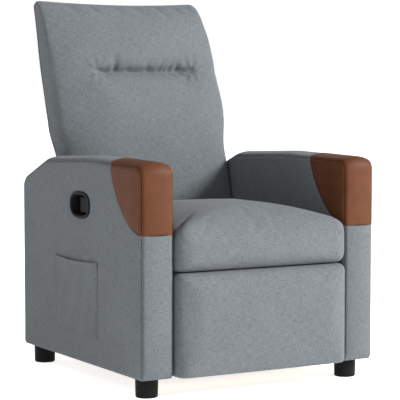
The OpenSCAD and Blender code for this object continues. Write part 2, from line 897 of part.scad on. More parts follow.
// The whole of the back behind its cushion, before it is divided
module back_block() {
  intersection() {
    across(-half_seat, half_seat) polygon(rounded([
      [shell_from, panel_low, 0],
      [back_rear, panel_low, 10],
      [back_rear, back_len, back_corner],
      [shell_from, back_top_front, 0]
    ]));
    deep(shell_from, back_rear + 1)
      polygon(rounded(back_outline(0, panel_low, back_len, back_side_corner)));
  }
}

// The cloth panel over the back's rear
module back_panel() {
  color(cloth) on_back() intersection() {
    back_block();
    box([-half_seat, back_rear - shell_wall, panel_low], [half_seat, back_rear, back_len]);
  }
}

border_low = 152;                         // below this the brackets need the room

// Padded borders that close the back's sides and top, joined above the stiles
module back_border() {
  color(cloth) on_back() intersection() {
    back_block();
    union() {
      pair() box([stile_x + 0.5, shell_from, border_low], [half_seat, back_rear - shell_wall, stile_top]);
      box([-half_seat, shell_from, stile_top + 0.5], [half_seat, back_rear - shell_wall, back_len]);
    }
  }
}

module back_stiles() {
  color(ply) on_back() pair() difference() {
    box([stile_x - stile_t, stile_front, stile_low], [stile_x, stile_rear, stile_top]);
    for (p = back_bolt_points) rod(p, bolt_r + run_gap, stile_x - stile_t - 1, stile_x + 1);
  }
}

back_rail_zs = [0, 300, stile_top - 60];
back_bolt_points = [[2.5, 50], [2.5, 115]];

module back_cross_rails() {
  inner = stile_x - stile_t;
  color(ply) on_back() for (z = back_rail_zs)
    box([-inner, stile_front + 1, z], [inner, stile_rear, z + 60]);
}

// Springs across the stiles, in front of them
module back_springs() {
  color(steel) on_back() for (z = [110, 200, 420, 500])
    translate([-stile_x + 8, stile_front - wire_d / 2 - 0.4, z]) rotate([0, 0, -90]) rotate([0, -90, 0])
      serpentine(2 * stile_x - 16, 12, 52);
}

// A bracket on the stile's outer face, packed out to clear the seat plate
module back_bracket(side) {
  color(steel) hand(side) difference() {
    on_back() {
      across(long_x, long_x + steel_t) polygon(rounded([
        [-14, -15, 12],
        [14, -15, 12],
        [14, 140, 8],
        [-8, 140, 8],
        [-14, 30, 10]
      ]));
      box([stile_x, -8, 34], [long_x + 1, 13, 132]);
    }
    rivet_hole(hinge);
    on_back() for (p = back_bolt_points) rod(p, bolt_r + run_gap, stile_x - 1, long_x + steel_t + 1);
  }
}

module back_bolts() {
  color(steel) on_back() pair() for (p = back_bolt_points)
    bolt(p, stile_x - stile_t + 2, long_x + steel_t);
}

// ---------- footrest ----------

module long_links() {
  color(steel) pair() difference() {
    across(long_x, long_x + steel_t) polygon(bar(front_pivot, tail_pivot, link_w / 2));
    for (p = [front_pivot, knee, tail_pivot]) rivet_hole(p);
  }
}

module torque_tube() {
  color(steel) difference() {
    rod(tube_at, tube_r, -long_x, long_x);
    rod(tube_at, tube_r - 2, -long_x - 1, long_x + 1);
  }
}

// Rivets that stay with the long links
module long_link_rivets() {
  color(steel) pair() for (p = [knee, tail_pivot]) rivet(p, long_x, cross_x + steel_t);
}

module rear_links() {
  color(steel) pair() difference() {
    across(long_x, long_x + steel_t) polygon(bar(rear_pivot, rear_knee, link_w / 2));
    rivet_hole(rear_pivot);
    rivet_hole(rear_knee);
  }
}

module cross_links() {
  color(steel) pair() difference() {
    across(cross_x, cross_x + steel_t) polygon(bar(rear_knee, pad_pivot, link_w / 2));
    for (p = [rear_knee, knee, pad_pivot]) rivet_hole(p);
  }
}

// Rivets that stay with the cross links
module cross_link_rivets() {
  color(steel) pair() {
    rivet(rear_knee, long_x, cross_x + steel_t);
    rivet(pad_pivot, cross_x, bracket_x + steel_t);
  }
}

module outer_links() {
  color(steel) pair() difference() {
    across(cross_x, cross_x + steel_t) polygon(bar(tail_pivot, pad_pivot_low, link_w / 2));
    rivet_hole(tail_pivot);
    rivet_hole(pad_pivot_low);
  }
}

module outer_link_rivets() {
  color(steel) pair() rivet(pad_pivot_low, cross_x, bracket_x + steel_t);
}

board_x = half_seat - 18;
flange_in = 34;                           // the bracket's flange lies on the board

footrest_bolt_xz = [
  for (z = [pad_pivot[1] - 24, pad_pivot[1] + 8]) [bracket_x - flange_in + 12, z]
];

// An angle: a flange on the board, and an ear that carries both pivots
module footrest_bracket(side) {
  color(steel) hand(side) difference() {
    union() {
      across(bracket_x, bracket_x + steel_t) polygon(rounded([
        [footrest_back, pad_pivot_low[1] - 40, 0],
        [footrest_back, pad_pivot[1] + 26, 0],
        [pad_pivot[0] + 8, pad_pivot[1] + 14, 12],
        [pad_pivot_low[0] + 14, pad_pivot_low[1] + 4, 12],
        [pad_pivot_low[0] + 4, pad_pivot_low[1] - 16, 12]
      ]));
      box(
        [bracket_x - flange_in, footrest_back, pad_pivot[1] - 38],
        [bracket_x + 1, footrest_back + steel_t, pad_pivot[1] + 26]
      );
    }
    rivet_hole(pad_pivot);
    rivet_hole(pad_pivot_low);
    for (p = footrest_bolt_xz)
      translate([p[0], footrest_back - 1, p[1]]) rotate([-90, 0, 0])
        cylinder(r = bolt_r + run_gap, h = steel_t + 2, $fn = hole_fn);
  }
}

module footrest_bolts() {
  color(steel) pair() for (p = footrest_bolt_xz)
    translate([p[0], footrest_back - board_t + 2, p[1]]) rotate([-90, 0, 0]) {
      cylinder(r = bolt_r, h = board_t - 2 + steel_t, $fn = hole_fn);
      translate([0, 0, board_t - 2 + steel_t]) cylinder(r = bolt_r * 1.9, h = bolt_head_t, $fn = 6);
    }
}

module footrest_board() {
  color(ply) difference() {
    box(
      [-bracket_x - 2, footrest_back - board_t, footrest_low + 14],
      [bracket_x + 2, footrest_back, footrest_high - 14]
    );
    pair() for (p = footrest_bolt_xz)
      translate([p[0], footrest_back - board_t + 1, p[1]]) rotate([-90, 0, 0])
        cylinder(r = bolt_r + run_gap, h = board_t, $fn = hole_fn);
  }
}

module footrest_pad() {
  color(cloth_light) difference() {
    intersection() {
      across(-half_seat, half_seat) polygon(rounded([
        [footrest_front, footrest_low, 14],
        [footrest_back, footrest_low, 6],
        [footrest_back, footrest_high, 6],
        [footrest_front, footrest_high, 18]
      ]));
      deep(footrest_front - 1, footrest_back + 1)
        polygon(rounded(rectangle(-half_seat, footrest_low - 1, half_seat, footrest_high + 1, 12)));
      linear_extrude(height = footrest_high + 1)
        polygon(rounded(cushion_top(footrest_front, footrest_back)));
    }
    box(
      [-bracket_x - 2, footrest_back - board_t, footrest_low + 14],
      [bracket_x + 2, footrest_back + 1, footrest_high - 14]
    );
  }
}

// ---------- nodes ----------

placed() {
  arm_frame("left");  // arm_frame_left
  arm_frame("right");  // arm_frame_right
  arm_cover("left");  // arm_cover_left
  arm_cover("right");  // arm_cover_right
  arm_leather("left");  // arm_leather_left
  arm_leather("right");  // arm_leather_right
  side_pocket();
  foot("left", foot_front);  // foot_front_left
  foot("right", foot_front);  // foot_front_right
  foot("left", arm_depth - foot_rear);  // foot_rear_left
  foot("right", arm_depth - foot_rear);  // foot_rear_right
  foot_bolts();
  front_stretcher();
  rear_rail();
  rear_panel();
  base_rails();
  base_plate("left");  // base_plate_left
  base_plate("right");  // base_plate_right
  base_fasteners();
  handle_cup();
  lever_pin();
  lever_spring();
  release_lever();
  release_cable();
  release_cam();
  swing_links(swing_top_front, swing_low_front);  // front_swing_links
  swing_links(swing_top_rear, swing_low_rear);  // rear_swing_links
  seat_side_rails();
  seat_cross_rails();
  seat_springs();
  seat_spring_clips();
  seat_dust_cover();
  seat_plate("left");  // seat_plate_left
  seat_plate("right");  // seat_plate_right
  seat_bolts();
  seat_rivets();
  seat_cushion();
  back_stiles();
  back_cross_rails();
  back_springs();
  back_bracket("left");  // back_bracket_left
  back_bracket("right");  // back_bracket_right
  back_bolts();
  back_cushion();
  back_border();
  back_panel();
  long_links();
  torque_tube();
  long_link_rivets();
  rear_links();
  cross_links();
  cross_link_rivets();
  outer_links();
  outer_link_rivets();
  footrest_bracket("left");  // footrest_bracket_left
  footrest_bracket("right");  // footrest_bracket_right
  footrest_bolts();
  footrest_board();
  footrest_pad();
}
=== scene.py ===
"""Looks of the recliner armchair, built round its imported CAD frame."""

import json
import logging
import math
from dataclasses import dataclass, field
from enum import Enum
from typing import Iterable, Sequence

import bmesh
import bpy
import numpy as np
from mathutils import Matrix, Vector
from mathutils.bvhtree import BVHTree


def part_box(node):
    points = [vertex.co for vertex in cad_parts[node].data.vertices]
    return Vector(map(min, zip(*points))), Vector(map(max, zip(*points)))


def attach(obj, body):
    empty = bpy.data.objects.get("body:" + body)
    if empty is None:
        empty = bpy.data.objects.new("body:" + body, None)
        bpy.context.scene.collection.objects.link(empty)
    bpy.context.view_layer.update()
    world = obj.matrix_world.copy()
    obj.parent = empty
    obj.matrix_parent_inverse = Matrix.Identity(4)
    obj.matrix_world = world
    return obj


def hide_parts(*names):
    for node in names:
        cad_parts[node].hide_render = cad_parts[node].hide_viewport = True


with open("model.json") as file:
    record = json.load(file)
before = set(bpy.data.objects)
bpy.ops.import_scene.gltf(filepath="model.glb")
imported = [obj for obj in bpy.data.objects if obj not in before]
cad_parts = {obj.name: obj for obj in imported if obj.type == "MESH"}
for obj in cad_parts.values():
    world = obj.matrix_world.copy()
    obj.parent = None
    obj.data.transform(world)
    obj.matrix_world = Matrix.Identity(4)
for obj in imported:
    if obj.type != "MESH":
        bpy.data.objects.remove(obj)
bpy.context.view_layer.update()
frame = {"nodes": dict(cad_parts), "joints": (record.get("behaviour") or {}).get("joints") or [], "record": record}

LOG = logging.getLogger("recliner")
Array = np.ndarray
TAU = 2 * math.pi


class Side(Enum):
    """The two sides of the chair, as the sign of X."""

    LEFT = 1
    RIGHT = -1


class Slot(Enum):
    """Material slots of the record."""

    WOOD = "frame_wood"
    BODY = "body_fabric"
    CUSHION = "cushion_fabric"
    LEATHER = "cap_leather"
    FOOT = "foot_plastic"
    HANDLE = "handle_plastic"
    CABLE = "cable_sheath"
    DUST = "dust_cloth"
    MECHANISM = "mechanism_steel"
    BRIGHT = "bright_steel"
    SPRING = "spring_wire"


@dataclass(frozen=True)
class Layout:
    """Places that every sub-assembly shares, in metres.

    Args:
        arm_in: inner face of an arm.
        arm_out: outer face of an arm.
        front: y of the arms' front faces.
        hinge: a point on the back's hinge.
        lean: lean of the closed back, in radians.
    """

    arm_in: float
    arm_out: float
    front: float
    hinge: Vector
    lean: float = math.radians(18)

    PADDING_IN = 0.0025  # how far the padding stands past the CAD's inner face
    PADDING_OUT = 0.0035  # and past its outer face

    @classmethod
    def from_frame(cls) -> "Layout":
        """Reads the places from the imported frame.

        Returns:
            The layout of this chair.
        """
        low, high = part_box("arm_cover_left")
        low.x, high.x = low.x - cls.PADDING_IN, high.x + cls.PADDING_OUT
        hinge = next(j for j in frame["joints"] if j["name"] == "back_recline")
        return cls(low.x, high.x, low.y, Vector(hinge["pos_m"]))

    def point(self, x: float, y: float, z: float) -> Vector:
        """A point from its distance behind the arms' fronts.

        Args:
            x: across the chair.
            y: behind the front of the arms.
            z: above the floor.

        Returns:
            The same point in the chair's frame.
        """
        return Vector((x, y + self.front, z))

    @property
    def back(self) -> Matrix:
        """The back's own frame, at its hinge and along its lean."""
        return Matrix.Translation(self.hinge) @ Matrix.Rotation(-self.lean, 4, "X")


# ---------------------------------------------------------------- materials


class Nodes:
    """Builds a material's node tree."""

    def __init__(self, name: str) -> None:
        """Starts a material.

        Args:
            name: the material's name.
        """
        self.material = bpy.data.materials.new(name)
        self.material.use_nodes = True
        self.tree = self.material.node_tree
        self.bsdf = self.tree.nodes["Principled BSDF"]

    def add(self, kind: str, **values: object) -> bpy.types.Node:
        """Adds a node.

        Args:
            kind: Blender's node type.
            values: attributes, or inputs by name with spaces as underscores.

        Returns:
            The new node.
        """
        node = self.tree.nodes.new(kind)
        for key, value in values.items():
            if hasattr(node, key):
                setattr(node, key, value)
            else:
                node.inputs[key.replace("_", " ")].default_value = value
        return node

    def link(self, source: bpy.types.NodeSocket, target: bpy.types.NodeSocket) -> None:
        """Links two sockets.

        Args:
            source: an output.
            target: an input.
        """
        self.tree.links.new(source, target)

    def math(self, operation: str, a: object, b: object = 0.0, clamp: bool = False) -> bpy.types.NodeSocket:
        """Adds a maths node.

        Args:
            operation: the node's operation.
            a: a socket or a number.
            b: a socket or a number.
            clamp: whether to hold the result within 0 and 1.

        Returns:
            The result.
        """
        node = self.add("ShaderNodeMath", operation=operation, use_clamp=clamp)
        for i, value in enumerate((a, b)):
            if isinstance(value, bpy.types.NodeSocket):
                self.link(value, node.inputs[i])
            else:
                node.inputs[i].default_value = value
        return node.outputs[0]

    def mix(self, *parts: tuple[bpy.types.NodeSocket, float]) -> bpy.types.NodeSocket:
        """Adds up several patterns.

        Args:
            parts: the patterns and their shares.

        Returns:
            The sum.
        """
        total = None
        for pattern, share in parts:
            scaled = self.math("MULTIPLY", pattern, share)
            total = scaled if total is None else self.math("ADD", total, scaled)
        return total

    def noise(self, vector: bpy.types.NodeSocket, scale: float, detail: float = 2.0,
              stretch: tuple[float, float, float] = (1, 1, 1), rough: float = 0.5) -> bpy.types.NodeSocket:
        """Adds a noise texture.

        Args:
            vector: its coordinates.
            scale: cycles per metre.
            detail: octaves.
            stretch: scale along each axis.
            rough: the octaves' strength.

        Returns:
            The noise, from 0 to 1.
        """
        mapping = self.add("ShaderNodeMapping")
        mapping.inputs["Scale"].default_value = stretch
        self.link(vector, mapping.inputs["Vector"])
        node = self.add("ShaderNodeTexNoise", Scale=scale, Detail=detail, Roughness=rough)
        self.link(mapping.outputs[0], node.inputs["Vector"])
        return node.outputs["Fac"]

    def tint(self, pattern: bpy.types.NodeSocket, colour: Sequence[float],
             shades: Sequence[tuple[float, float]]) -> None:
        """Colours the surface in darker and lighter shades of one colour.

        Args:
            pattern: from 0 to 1.
            colour: the mean colour.
            shades: places on the pattern, each with how light the colour is there.
        """
        node = self.add("ShaderNodeValToRGB")
        elements = node.color_ramp.elements
        while len(elements) < len(shades):
            elements.new(0.5)
        for element, (position, light) in zip(elements, shades):
            element.position = position
            element.color = (*shade(colour, light), 1.0)
        self.link(pattern, node.inputs[0])
        self.link(node.outputs[0], self.bsdf.inputs["Base Color"])

    def roughen(self, pattern: bpy.types.NodeSocket, mean: float, spread: float) -> None:
        """Varies the surface's roughness.

        Args:
            pattern: from 0 to 1.
            mean: the roughness in the middle of the pattern.
            spread: how far it varies in all.
        """
        rough = self.math("MULTIPLY_ADD", pattern, spread)
        rough.node.inputs[2].default_value = mean - spread / 2
        self.link(rough, self.bsdf.inputs["Roughness"])

    def bump(self, height: bpy.types.NodeSocket, distance: float, strength: float) -> None:
        """Bumps the surface.

        Args:
            height: from 0 to 1.
            distance: the height of 1, in metres.
            strength: from 0 to 1.
        """
        node = self.add("ShaderNodeBump", Distance=distance, Strength=strength)
        self.link(height, node.inputs["Height"])
        self.link(node.outputs[0], self.bsdf.inputs["Normal"])

    def value(self, name: str, value: object) -> None:
        """Sets an input of the surface.

        Args:
            name: the socket.
            value: its value.
        """
        self.bsdf.inputs[name].default_value = value


def shade(colour: Sequence[float], factor: float) -> tuple[float, float, float]:
    """Scales a colour.

    Args:
        colour: linear red, green and blue.
        factor: how much lighter.

    Returns:
        The scaled colour.
    """
    return tuple(min(1.0, c * factor) for c in colour[:3])


@dataclass(frozen=True)
class Fabric:
    """Heathered plain-weave upholstery cloth.

    Args:
        name: the material's name.
        colour: the mean colour.
        contrast: how far the yarns differ.
        pitch: spacing of the yarns, in metres.
        sheen: strength of the nap.
    """

    name: str
    colour: tuple[float, float, float]
    contrast: float = 0.36
    pitch: float = 0.0013
    sheen: float = 0.08

    def build(self) -> bpy.types.Material:
        """Builds the material.

        Returns:
            The material, mapped by each piece's weave coordinates.
        """
        n = Nodes(self.name)
        uv = n.add("ShaderNodeUVMap", uv_map="weave").outputs[0]
        split = n.add("ShaderNodeSeparateXYZ")
        n.link(uv, split.inputs[0])
        u, v = split.outputs[0], split.outputs[1]
        turn = TAU / self.pitch
        warp = n.math("SINE", n.math("MULTIPLY", u, turn))
        weft = n.math("SINE", n.math("MULTIPLY", v, turn))
        weave = n.math("MULTIPLY_ADD", n.math("MULTIPLY", warp, weft), 0.5)
        weave.node.inputs[2].default_value = 0.5
        across = n.noise(uv, 1.0, 1.5, (60, 620, 1))
        along = n.noise(uv, 1.0, 1.5, (620, 60, 1))
        slub = n.noise(uv, 1.0, 3.0, (230, 260, 1), 0.65)
        yarns = n.mix((across, 0.4), (along, 0.4), (slub, 0.2))
        tone = n.mix((yarns, 0.9), (n.noise(uv, 9.0, 2.0), 0.1))
        n.tint(tone, self.colour, [(0.34, 1 - self.contrast), (0.5, 1.0), (0.66, 1 + self.contrast)])
        n.bump(n.mix((weave, 0.55), (yarns, 0.45)), 0.0006, 0.55)
        n.value("Roughness", 0.93)
        n.value("Specular IOR Level", 0.18)
        n.value("Sheen Weight", self.sheen)
        n.value("Sheen Roughness", 0.45)
        return n.material


@dataclass(frozen=True)
class Leather:
    """Soft pigmented leather with a fine grain.

    Args:
        name: the material's name.
        colour: the mean colour.
        roughness: of the finish.
    """

    name: str
    colour: tuple[float, float, float]
    roughness: float = 0.52

    def build(self) -> bpy.types.Material:
        """Builds the material.

        Returns:
            The material, in object coordinates.
        """
        n = Nodes(self.name)
        place = n.add("ShaderNodeTexCoord").outputs["Object"]
        cells = n.add("ShaderNodeTexVoronoi", feature="DISTANCE_TO_EDGE", Scale=620.0)
        n.link(place, cells.inputs["Vector"])
        grain = n.math("MULTIPLY", cells.outputs["Distance"], 2.2, clamp=True)
        patch = n.noise(place, 22.0, 4.0, rough=0.6)
        fine = n.noise(place, 260.0, 3.0)
        n.tint(n.mix((patch, 0.7), (fine, 0.3)), self.colour, [(0.3, 0.78), (0.52, 1.0), (0.72, 1.22)])
        n.roughen(fine, self.roughness, 0.18)
        n.bump(n.mix((grain, 0.6), (patch, 0.8)), 0.0005, 0.4)
        n.value("Specular IOR Level", 0.10)
        return n.material


@dataclass(frozen=True)
class Plastic:
    """Moulded plastic.

    Args:
        name: the material's name.
        colour: its colour.
        roughness: of its surface.
        texture: scale of its spark-eroded texture, per metre.
    """

    name: str
    colour: tuple[float, float, float]
    roughness: float = 0.42
    texture: float = 900.0

    def build(self) -> bpy.types.Material:
        """Builds the material.

        Returns:
            The material, in object coordinates.
        """
        n = Nodes(self.name)
        place = n.add("ShaderNodeTexCoord").outputs["Object"]
        fine = n.noise(place, self.texture, 2.0)
        dull = n.noise(place, 30.0, 3.0)
        n.tint(dull, self.colour, [(0.3, 0.85), (0.7, 1.2)])
        n.roughen(dull, self.roughness, 0.16)
        n.bump(fine, 0.0002, 0.25)
        n.value("Specular IOR Level", 0.06)
        return n.material


@dataclass(frozen=True)
class Metal:
    """Steel, painted, plated or drawn.

    Args:
        name: the material's name.
        colour: its colour.
        metallic: 1 for bare metal, 0 for paint.
        roughness: of its surface.
        streak: stretch of the surface marks along Z.
    """

    name: str
    colour: tuple[float, float, float]
    metallic: float
    roughness: float
    streak: float = 1.0

    def build(self) -> bpy.types.Material:
        """Builds the material.

        Returns:
            The material, in object coordinates.
        """
        n = Nodes(self.name)
        place = n.add("ShaderNodeTexCoord").outputs["Object"]
        marks = n.noise(place, 140.0, 4.0, (1, 1, self.streak), 0.6)
        n.tint(marks, self.colour, [(0.3, 0.82), (0.7, 1.15)])
        n.roughen(marks, self.roughness, 0.2)
        n.bump(marks, 0.0001, 0.2)
        n.value("Metallic", self.metallic)
        return n.material


@dataclass(frozen=True)
class Plywood:
    """Unfinished plywood with a long grain.

    Args:
        name: the material's name.
        colour: its colour.
    """

    name: str
    colour: tuple[float, float, float]

    def build(self) -> bpy.types.Material:
        """Builds the material.

        Returns:
            The material, in object coordinates.
        """
        n = Nodes(self.name)
        place = n.add("ShaderNodeTexCoord").outputs["Object"]
        grain = n.noise(place, 1.0, 5.0, (9, 9, 160), 0.6)
        pores = n.noise(place, 1.0, 2.0, (60, 60, 900), 0.6)
        tone = n.mix((grain, 0.75), (pores, 0.25))
        n.tint(tone, self.colour, [(0.3, 0.68), (0.5, 1.0), (0.7, 1.2)])
        n.bump(tone, 0.0004, 0.3)
        n.value("Roughness", 0.72)
        return n.material


Finish = Fabric | Leather | Plastic | Metal | Plywood
GREY = (0.092, 0.1015, 0.108)
BROWN = (0.075, 0.026, 0.0105)


@dataclass
class Palette:
    """The chair's materials, one for each slot.

    Args:
        finishes: the finish of each slot.
        seam_shades: the dark finish of the cords along each slot's seams, which paint the seams' shade.
        made: the materials built so far.
    """

    finishes: dict[Slot, Finish] = field(default_factory=lambda: {
        Slot.BODY: Fabric("woven_cloth", GREY),
        Slot.CUSHION: Fabric("woven_cushion_cloth", GREY),
        Slot.LEATHER: Leather("brown_leather", BROWN),
        Slot.FOOT: Plastic("foot_plastic", (0.006, 0.006, 0.006), 0.5),
        Slot.HANDLE: Plastic("handle_plastic", (0.0045, 0.0045, 0.0048), 0.46),
        Slot.CABLE: Plastic("black_sheath", (0.012, 0.012, 0.012), 0.35),
        Slot.DUST: Plastic("dust_lining", (0.02, 0.02, 0.021), 0.9, 300.0),
        Slot.MECHANISM: Metal("dark_painted_steel", (0.045, 0.045, 0.048), 0.3, 0.42),
        Slot.BRIGHT: Metal("zinc_plated_steel", (0.55, 0.55, 0.54), 1.0, 0.34),
        Slot.SPRING: Metal("drawn_wire", (0.34, 0.34, 0.35), 1.0, 0.4, 0.1),
        Slot.WOOD: Plywood("plywood", (0.50, 0.33, 0.17)),
    })
    seam_shades: dict[Slot, Finish] = field(default_factory=lambda: {
        # dark cords along the seams: painted seam shade, darker copies of the cloth and the leather
        Slot.BODY: Plastic("grey_painted_seam_shade", shade(GREY, 0.45), 0.8),
        Slot.LEATHER: Plastic("brown_painted_seam_shade", shade(BROWN, 0.30), 0.8),
    })
    made: dict[Finish, bpy.types.Material] = field(default_factory=dict)

    def material(self, finish: Finish) -> bpy.types.Material:
        """The material of a finish.

        Args:
            finish: the finish.

        Returns:
            Its material, built on first use.
        """
        if finish not in self.made:
            self.made[finish] = finish.build()
        return self.made[finish]

    def get(self, slot: Slot) -> bpy.types.Material:
        """The material of a slot."""
        return self.material(self.finishes[slot])

    def seam_shade(self, slot: Slot) -> bpy.types.Material:
        """The dark material of a slot's seam cords, which paints the shade in its seams."""
        return self.material(self.seam_shades[slot])


# ---------------------------------------------------------------- forms


def smoothstep(low: float, high: float, value: Array) -> Array:
    """A smooth ramp from 0 to 1.

    Args:
        low: where it starts.
        high: where it ends; less than low for a falling ramp.
        value: where it is read.

    Returns:
        The ramp's height.
    """
    t = np.clip((value - low) / (high - low), 0, 1)
    return t * t * (3 - 2 * t)


def bell(distance: Array, width: float | Array) -> Array:
    """A bell curve.

    Args:
        distance: from its middle.
        width: where it has fallen to 0.37.

    Returns:
        Its height, from 0 to 1.
    """
    return np.exp(-((distance / width) ** 2))


def near_line(points: Array, line: Array) -> Array:
    """Distance from points to a polyline.

    Args:
        points: one row each.
        line: the polyline's points.

    Returns:
        The distance of each point.
    """
    best = np.full(len(points), 1e9)
    for a, b in zip(line[:-1], line[1:]):
        d = b - a
        t = np.clip(((points - a) @ d) / max(d @ d, 1e-12), 0, 1)
        gap = points - (a + t[:, None] * d)
        best = np.minimum(best, np.einsum("ij,ij->i", gap, gap))
    return np.sqrt(best)


class Form:
    """A mesh piece that is shaped by operators and fields."""

    def __init__(self, obj: bpy.types.Object) -> None:
        """Takes an object as a piece.

        Args:
            obj: the piece's object, at the origin.
        """
        self.obj = obj

    @classmethod
    def from_bmesh(cls, name: str, bm: bmesh.types.BMesh) -> "Form":
        """Makes a piece of a bmesh, and frees it.

        Args:
            name: the piece's name.
            bm: its mesh.

        Returns:
            The piece.
        """
        mesh = bpy.data.meshes.new(name)
        bmesh.ops.recalc_face_normals(bm, faces=bm.faces)
        bm.to_mesh(mesh)
        bm.free()
        obj = bpy.data.objects.new(name, mesh)
        bpy.context.scene.collection.objects.link(obj)
        return cls(obj)

    @classmethod
    def copies(cls, name: str, nodes: Iterable[str]) -> "Form":
        """Copies CAD nodes into one new piece.

        Args:
            name: the piece's name.
            nodes: the CAD nodes.

        Returns:
            The piece.
        """
        bm = bmesh.new()
        for node in nodes:
            bm.from_mesh(frame["nodes"][node].data)
        bmesh.ops.remove_doubles(bm, verts=bm.verts, dist=1e-6)
        return cls.from_bmesh(name, bm)

    @classmethod
    def slab(cls, name: str, outline: Sequence[tuple[float, float, float]], x0: float, x1: float) -> "Form":
        """Extrudes a side view across the chair.

        Args:
            name: the piece's name.
            outline: y, z and corner radius of each corner.
            x0: where it starts.
            x1: where it ends.

        Returns:
            The piece, closed.
        """
        bm = bmesh.new()
        verts = [bm.verts.new((x0, y, z)) for y, z, _ in outline]
        bm.faces.new(verts)
        for vert, (_, _, radius) in zip(verts, outline):
            if radius <= 0:
                continue
            a, b = [(e.other_vert(vert).co - vert.co).normalized() for e in vert.link_edges]
            reach = radius / math.tan(a.angle(b) / 2)
            bmesh.ops.bevel(bm, geom=[vert], offset=reach, offset_type="OFFSET", segments=8,
                            profile=0.5, affect="VERTICES", material=-1)
        moved = bmesh.ops.extrude_face_region(bm, geom=bm.faces[:])["geom"]
        moved = [g for g in moved if isinstance(g, bmesh.types.BMVert)]
        bmesh.ops.translate(bm, vec=(x1 - x0, 0, 0), verts=moved)
        return cls.from_bmesh(name, bm)

    @property
    def points(self) -> Array:
        """The vertices, one row each."""
        co = np.empty(len(self.obj.data.vertices) * 3, np.float64)
        self.obj.data.vertices.foreach_get("co", co)
        return co.reshape(-1, 3)

    @points.setter
    def points(self, co: Array) -> None:
        """Moves the vertices.

        Args:
            co: their new places, one row each.
        """
        self.obj.data.vertices.foreach_set("co", co.astype(np.float32).ravel())
        self.obj.data.update()

    @property
    def normals(self) -> Array:
        """The vertices' normals, one row each."""
        no = np.empty(len(self.obj.data.vertices) * 3, np.float32)
        self.obj.data.vertices.foreach_get("normal", no)
        return no.reshape(-1, 3).astype(np.float64)

    def apply(self, kind: str, **values: object) -> "Form":
        """Applies a modifier.

        Args:
            kind: the modifier's type.
            values: its settings.

        Returns:
            The piece.
        """
        modifier = self.obj.modifiers.new(kind, kind)
        for key, value in values.items():
            setattr(modifier, key, value)
        graph = bpy.context.evaluated_depsgraph_get()
        mesh = bpy.data.meshes.new_from_object(self.obj.evaluated_get(graph))
        self.obj.modifiers.clear()
        old = self.obj.data
        self.obj.data = mesh
        bpy.data.meshes.remove(old)
        return self

    def remesh(self, voxel: float) -> "Form":
        """Gives the piece an even mesh.

        Args:
            voxel: the size of its faces.

        Returns:
            The piece.
        """
        return self.apply("REMESH", mode="VOXEL", voxel_size=voxel, use_smooth_shade=True)

    def relax(self, times: int, strength: float = 0.5) -> "Form":
        """Smooths the mesh.

        Args:
            times: how often.
            strength: how far each time.

        Returns:
            The piece.
        """
        return self.apply("SMOOTH", iterations=times, factor=strength)

    def refine(self) -> "Form":
        """Subdivides the mesh once.

        Returns:
            The piece.
        """
        return self.apply("SUBSURF", levels=1, render_levels=1)

    def boolean(self, cutter: "Form", operation: str) -> "Form":
        """Cuts the piece with another.

        Args:
            cutter: a closed piece, kept.
            operation: DIFFERENCE or INTERSECT.

        Returns:
            The piece.
        """
        return self.apply("BOOLEAN", object=cutter.obj, operation=operation, solver="MANIFOLD")

    def remove(self) -> None:
        """Removes the piece."""
        bpy.data.objects.remove(self.obj)

    def duplicate(self, name: str) -> "Form":
        """Copies the piece.

        Args:
            name: the copy's name.

        Returns:
            The copy.
        """
        obj = bpy.data.objects.new(name, self.obj.data.copy())
        bpy.context.scene.collection.objects.link(obj)
        return Form(obj)

    def mirror(self) -> "Form":
        """Turns the piece into its mirror image across the chair's middle.

        Returns:
            The piece.
        """
        bm = bmesh.new()
        bm.from_mesh(self.obj.data)
        bmesh.ops.scale(bm, vec=(-1, 1, 1), verts=bm.verts)
        bmesh.ops.reverse_faces(bm, faces=bm.faces)
        bm.to_mesh(self.obj.data)
        bm.free()
        return self

    def displace(self, amount: Array, direction: Array | Sequence[float] | None = None) -> "Form":
        """Moves the surface.

        Args:
            amount: how far, for each vertex.
            direction: which way, for each vertex or for all; outwards by default.

        Returns:
            The piece.
        """
        way = self.normals if direction is None else np.asarray(direction, float)
        self.points = self.points + np.asarray(amount)[:, None] * way
        return self

    def inflate(self, pinned: Array, cap: float) -> "Form":
        """Blows the cloth up over its filling, in a short cloth simulation.

        Args:
            pinned: how firmly each vertex is held, from 0 to 1.
            cap: the furthest that the cloth moves.

        Returns:
            The piece.
        """
        start = self.points
        group = self.obj.vertex_groups.new(name="held")
        for index in np.nonzero(pinned > 0.01)[0]:
            group.add([int(index)], float(pinned[index]), "REPLACE")
        modifier = self.obj.modifiers.new("cloth", "CLOTH")
        cloth = modifier.settings
        cloth.vertex_group_mass = "held"
        cloth.use_pressure = True
        cloth.uniform_pressure_force = 4
        cloth.tension_stiffness = cloth.compression_stiffness = 12
        cloth.shear_stiffness = 5
        cloth.bending_stiffness = 0.4
        cloth.quality = 4
        cloth.effector_weights.gravity = 0
        modifier.collision_settings.use_collision = False
        scene = bpy.context.scene
        for number in range(1, 21):
            scene.frame_set(number)
        graph = bpy.context.evaluated_depsgraph_get()
        moved = np.array([v.co for v in self.obj.evaluated_get(graph).data.vertices], float)
        self.obj.modifiers.clear()
        scene.frame_set(1)
        self.obj.vertex_groups.clear()
        step = moved - start
        length = np.maximum(np.linalg.norm(step, axis=1), 1e-9)
        self.points = start + step * (np.minimum(length, cap) / length)[:, None]
        return self

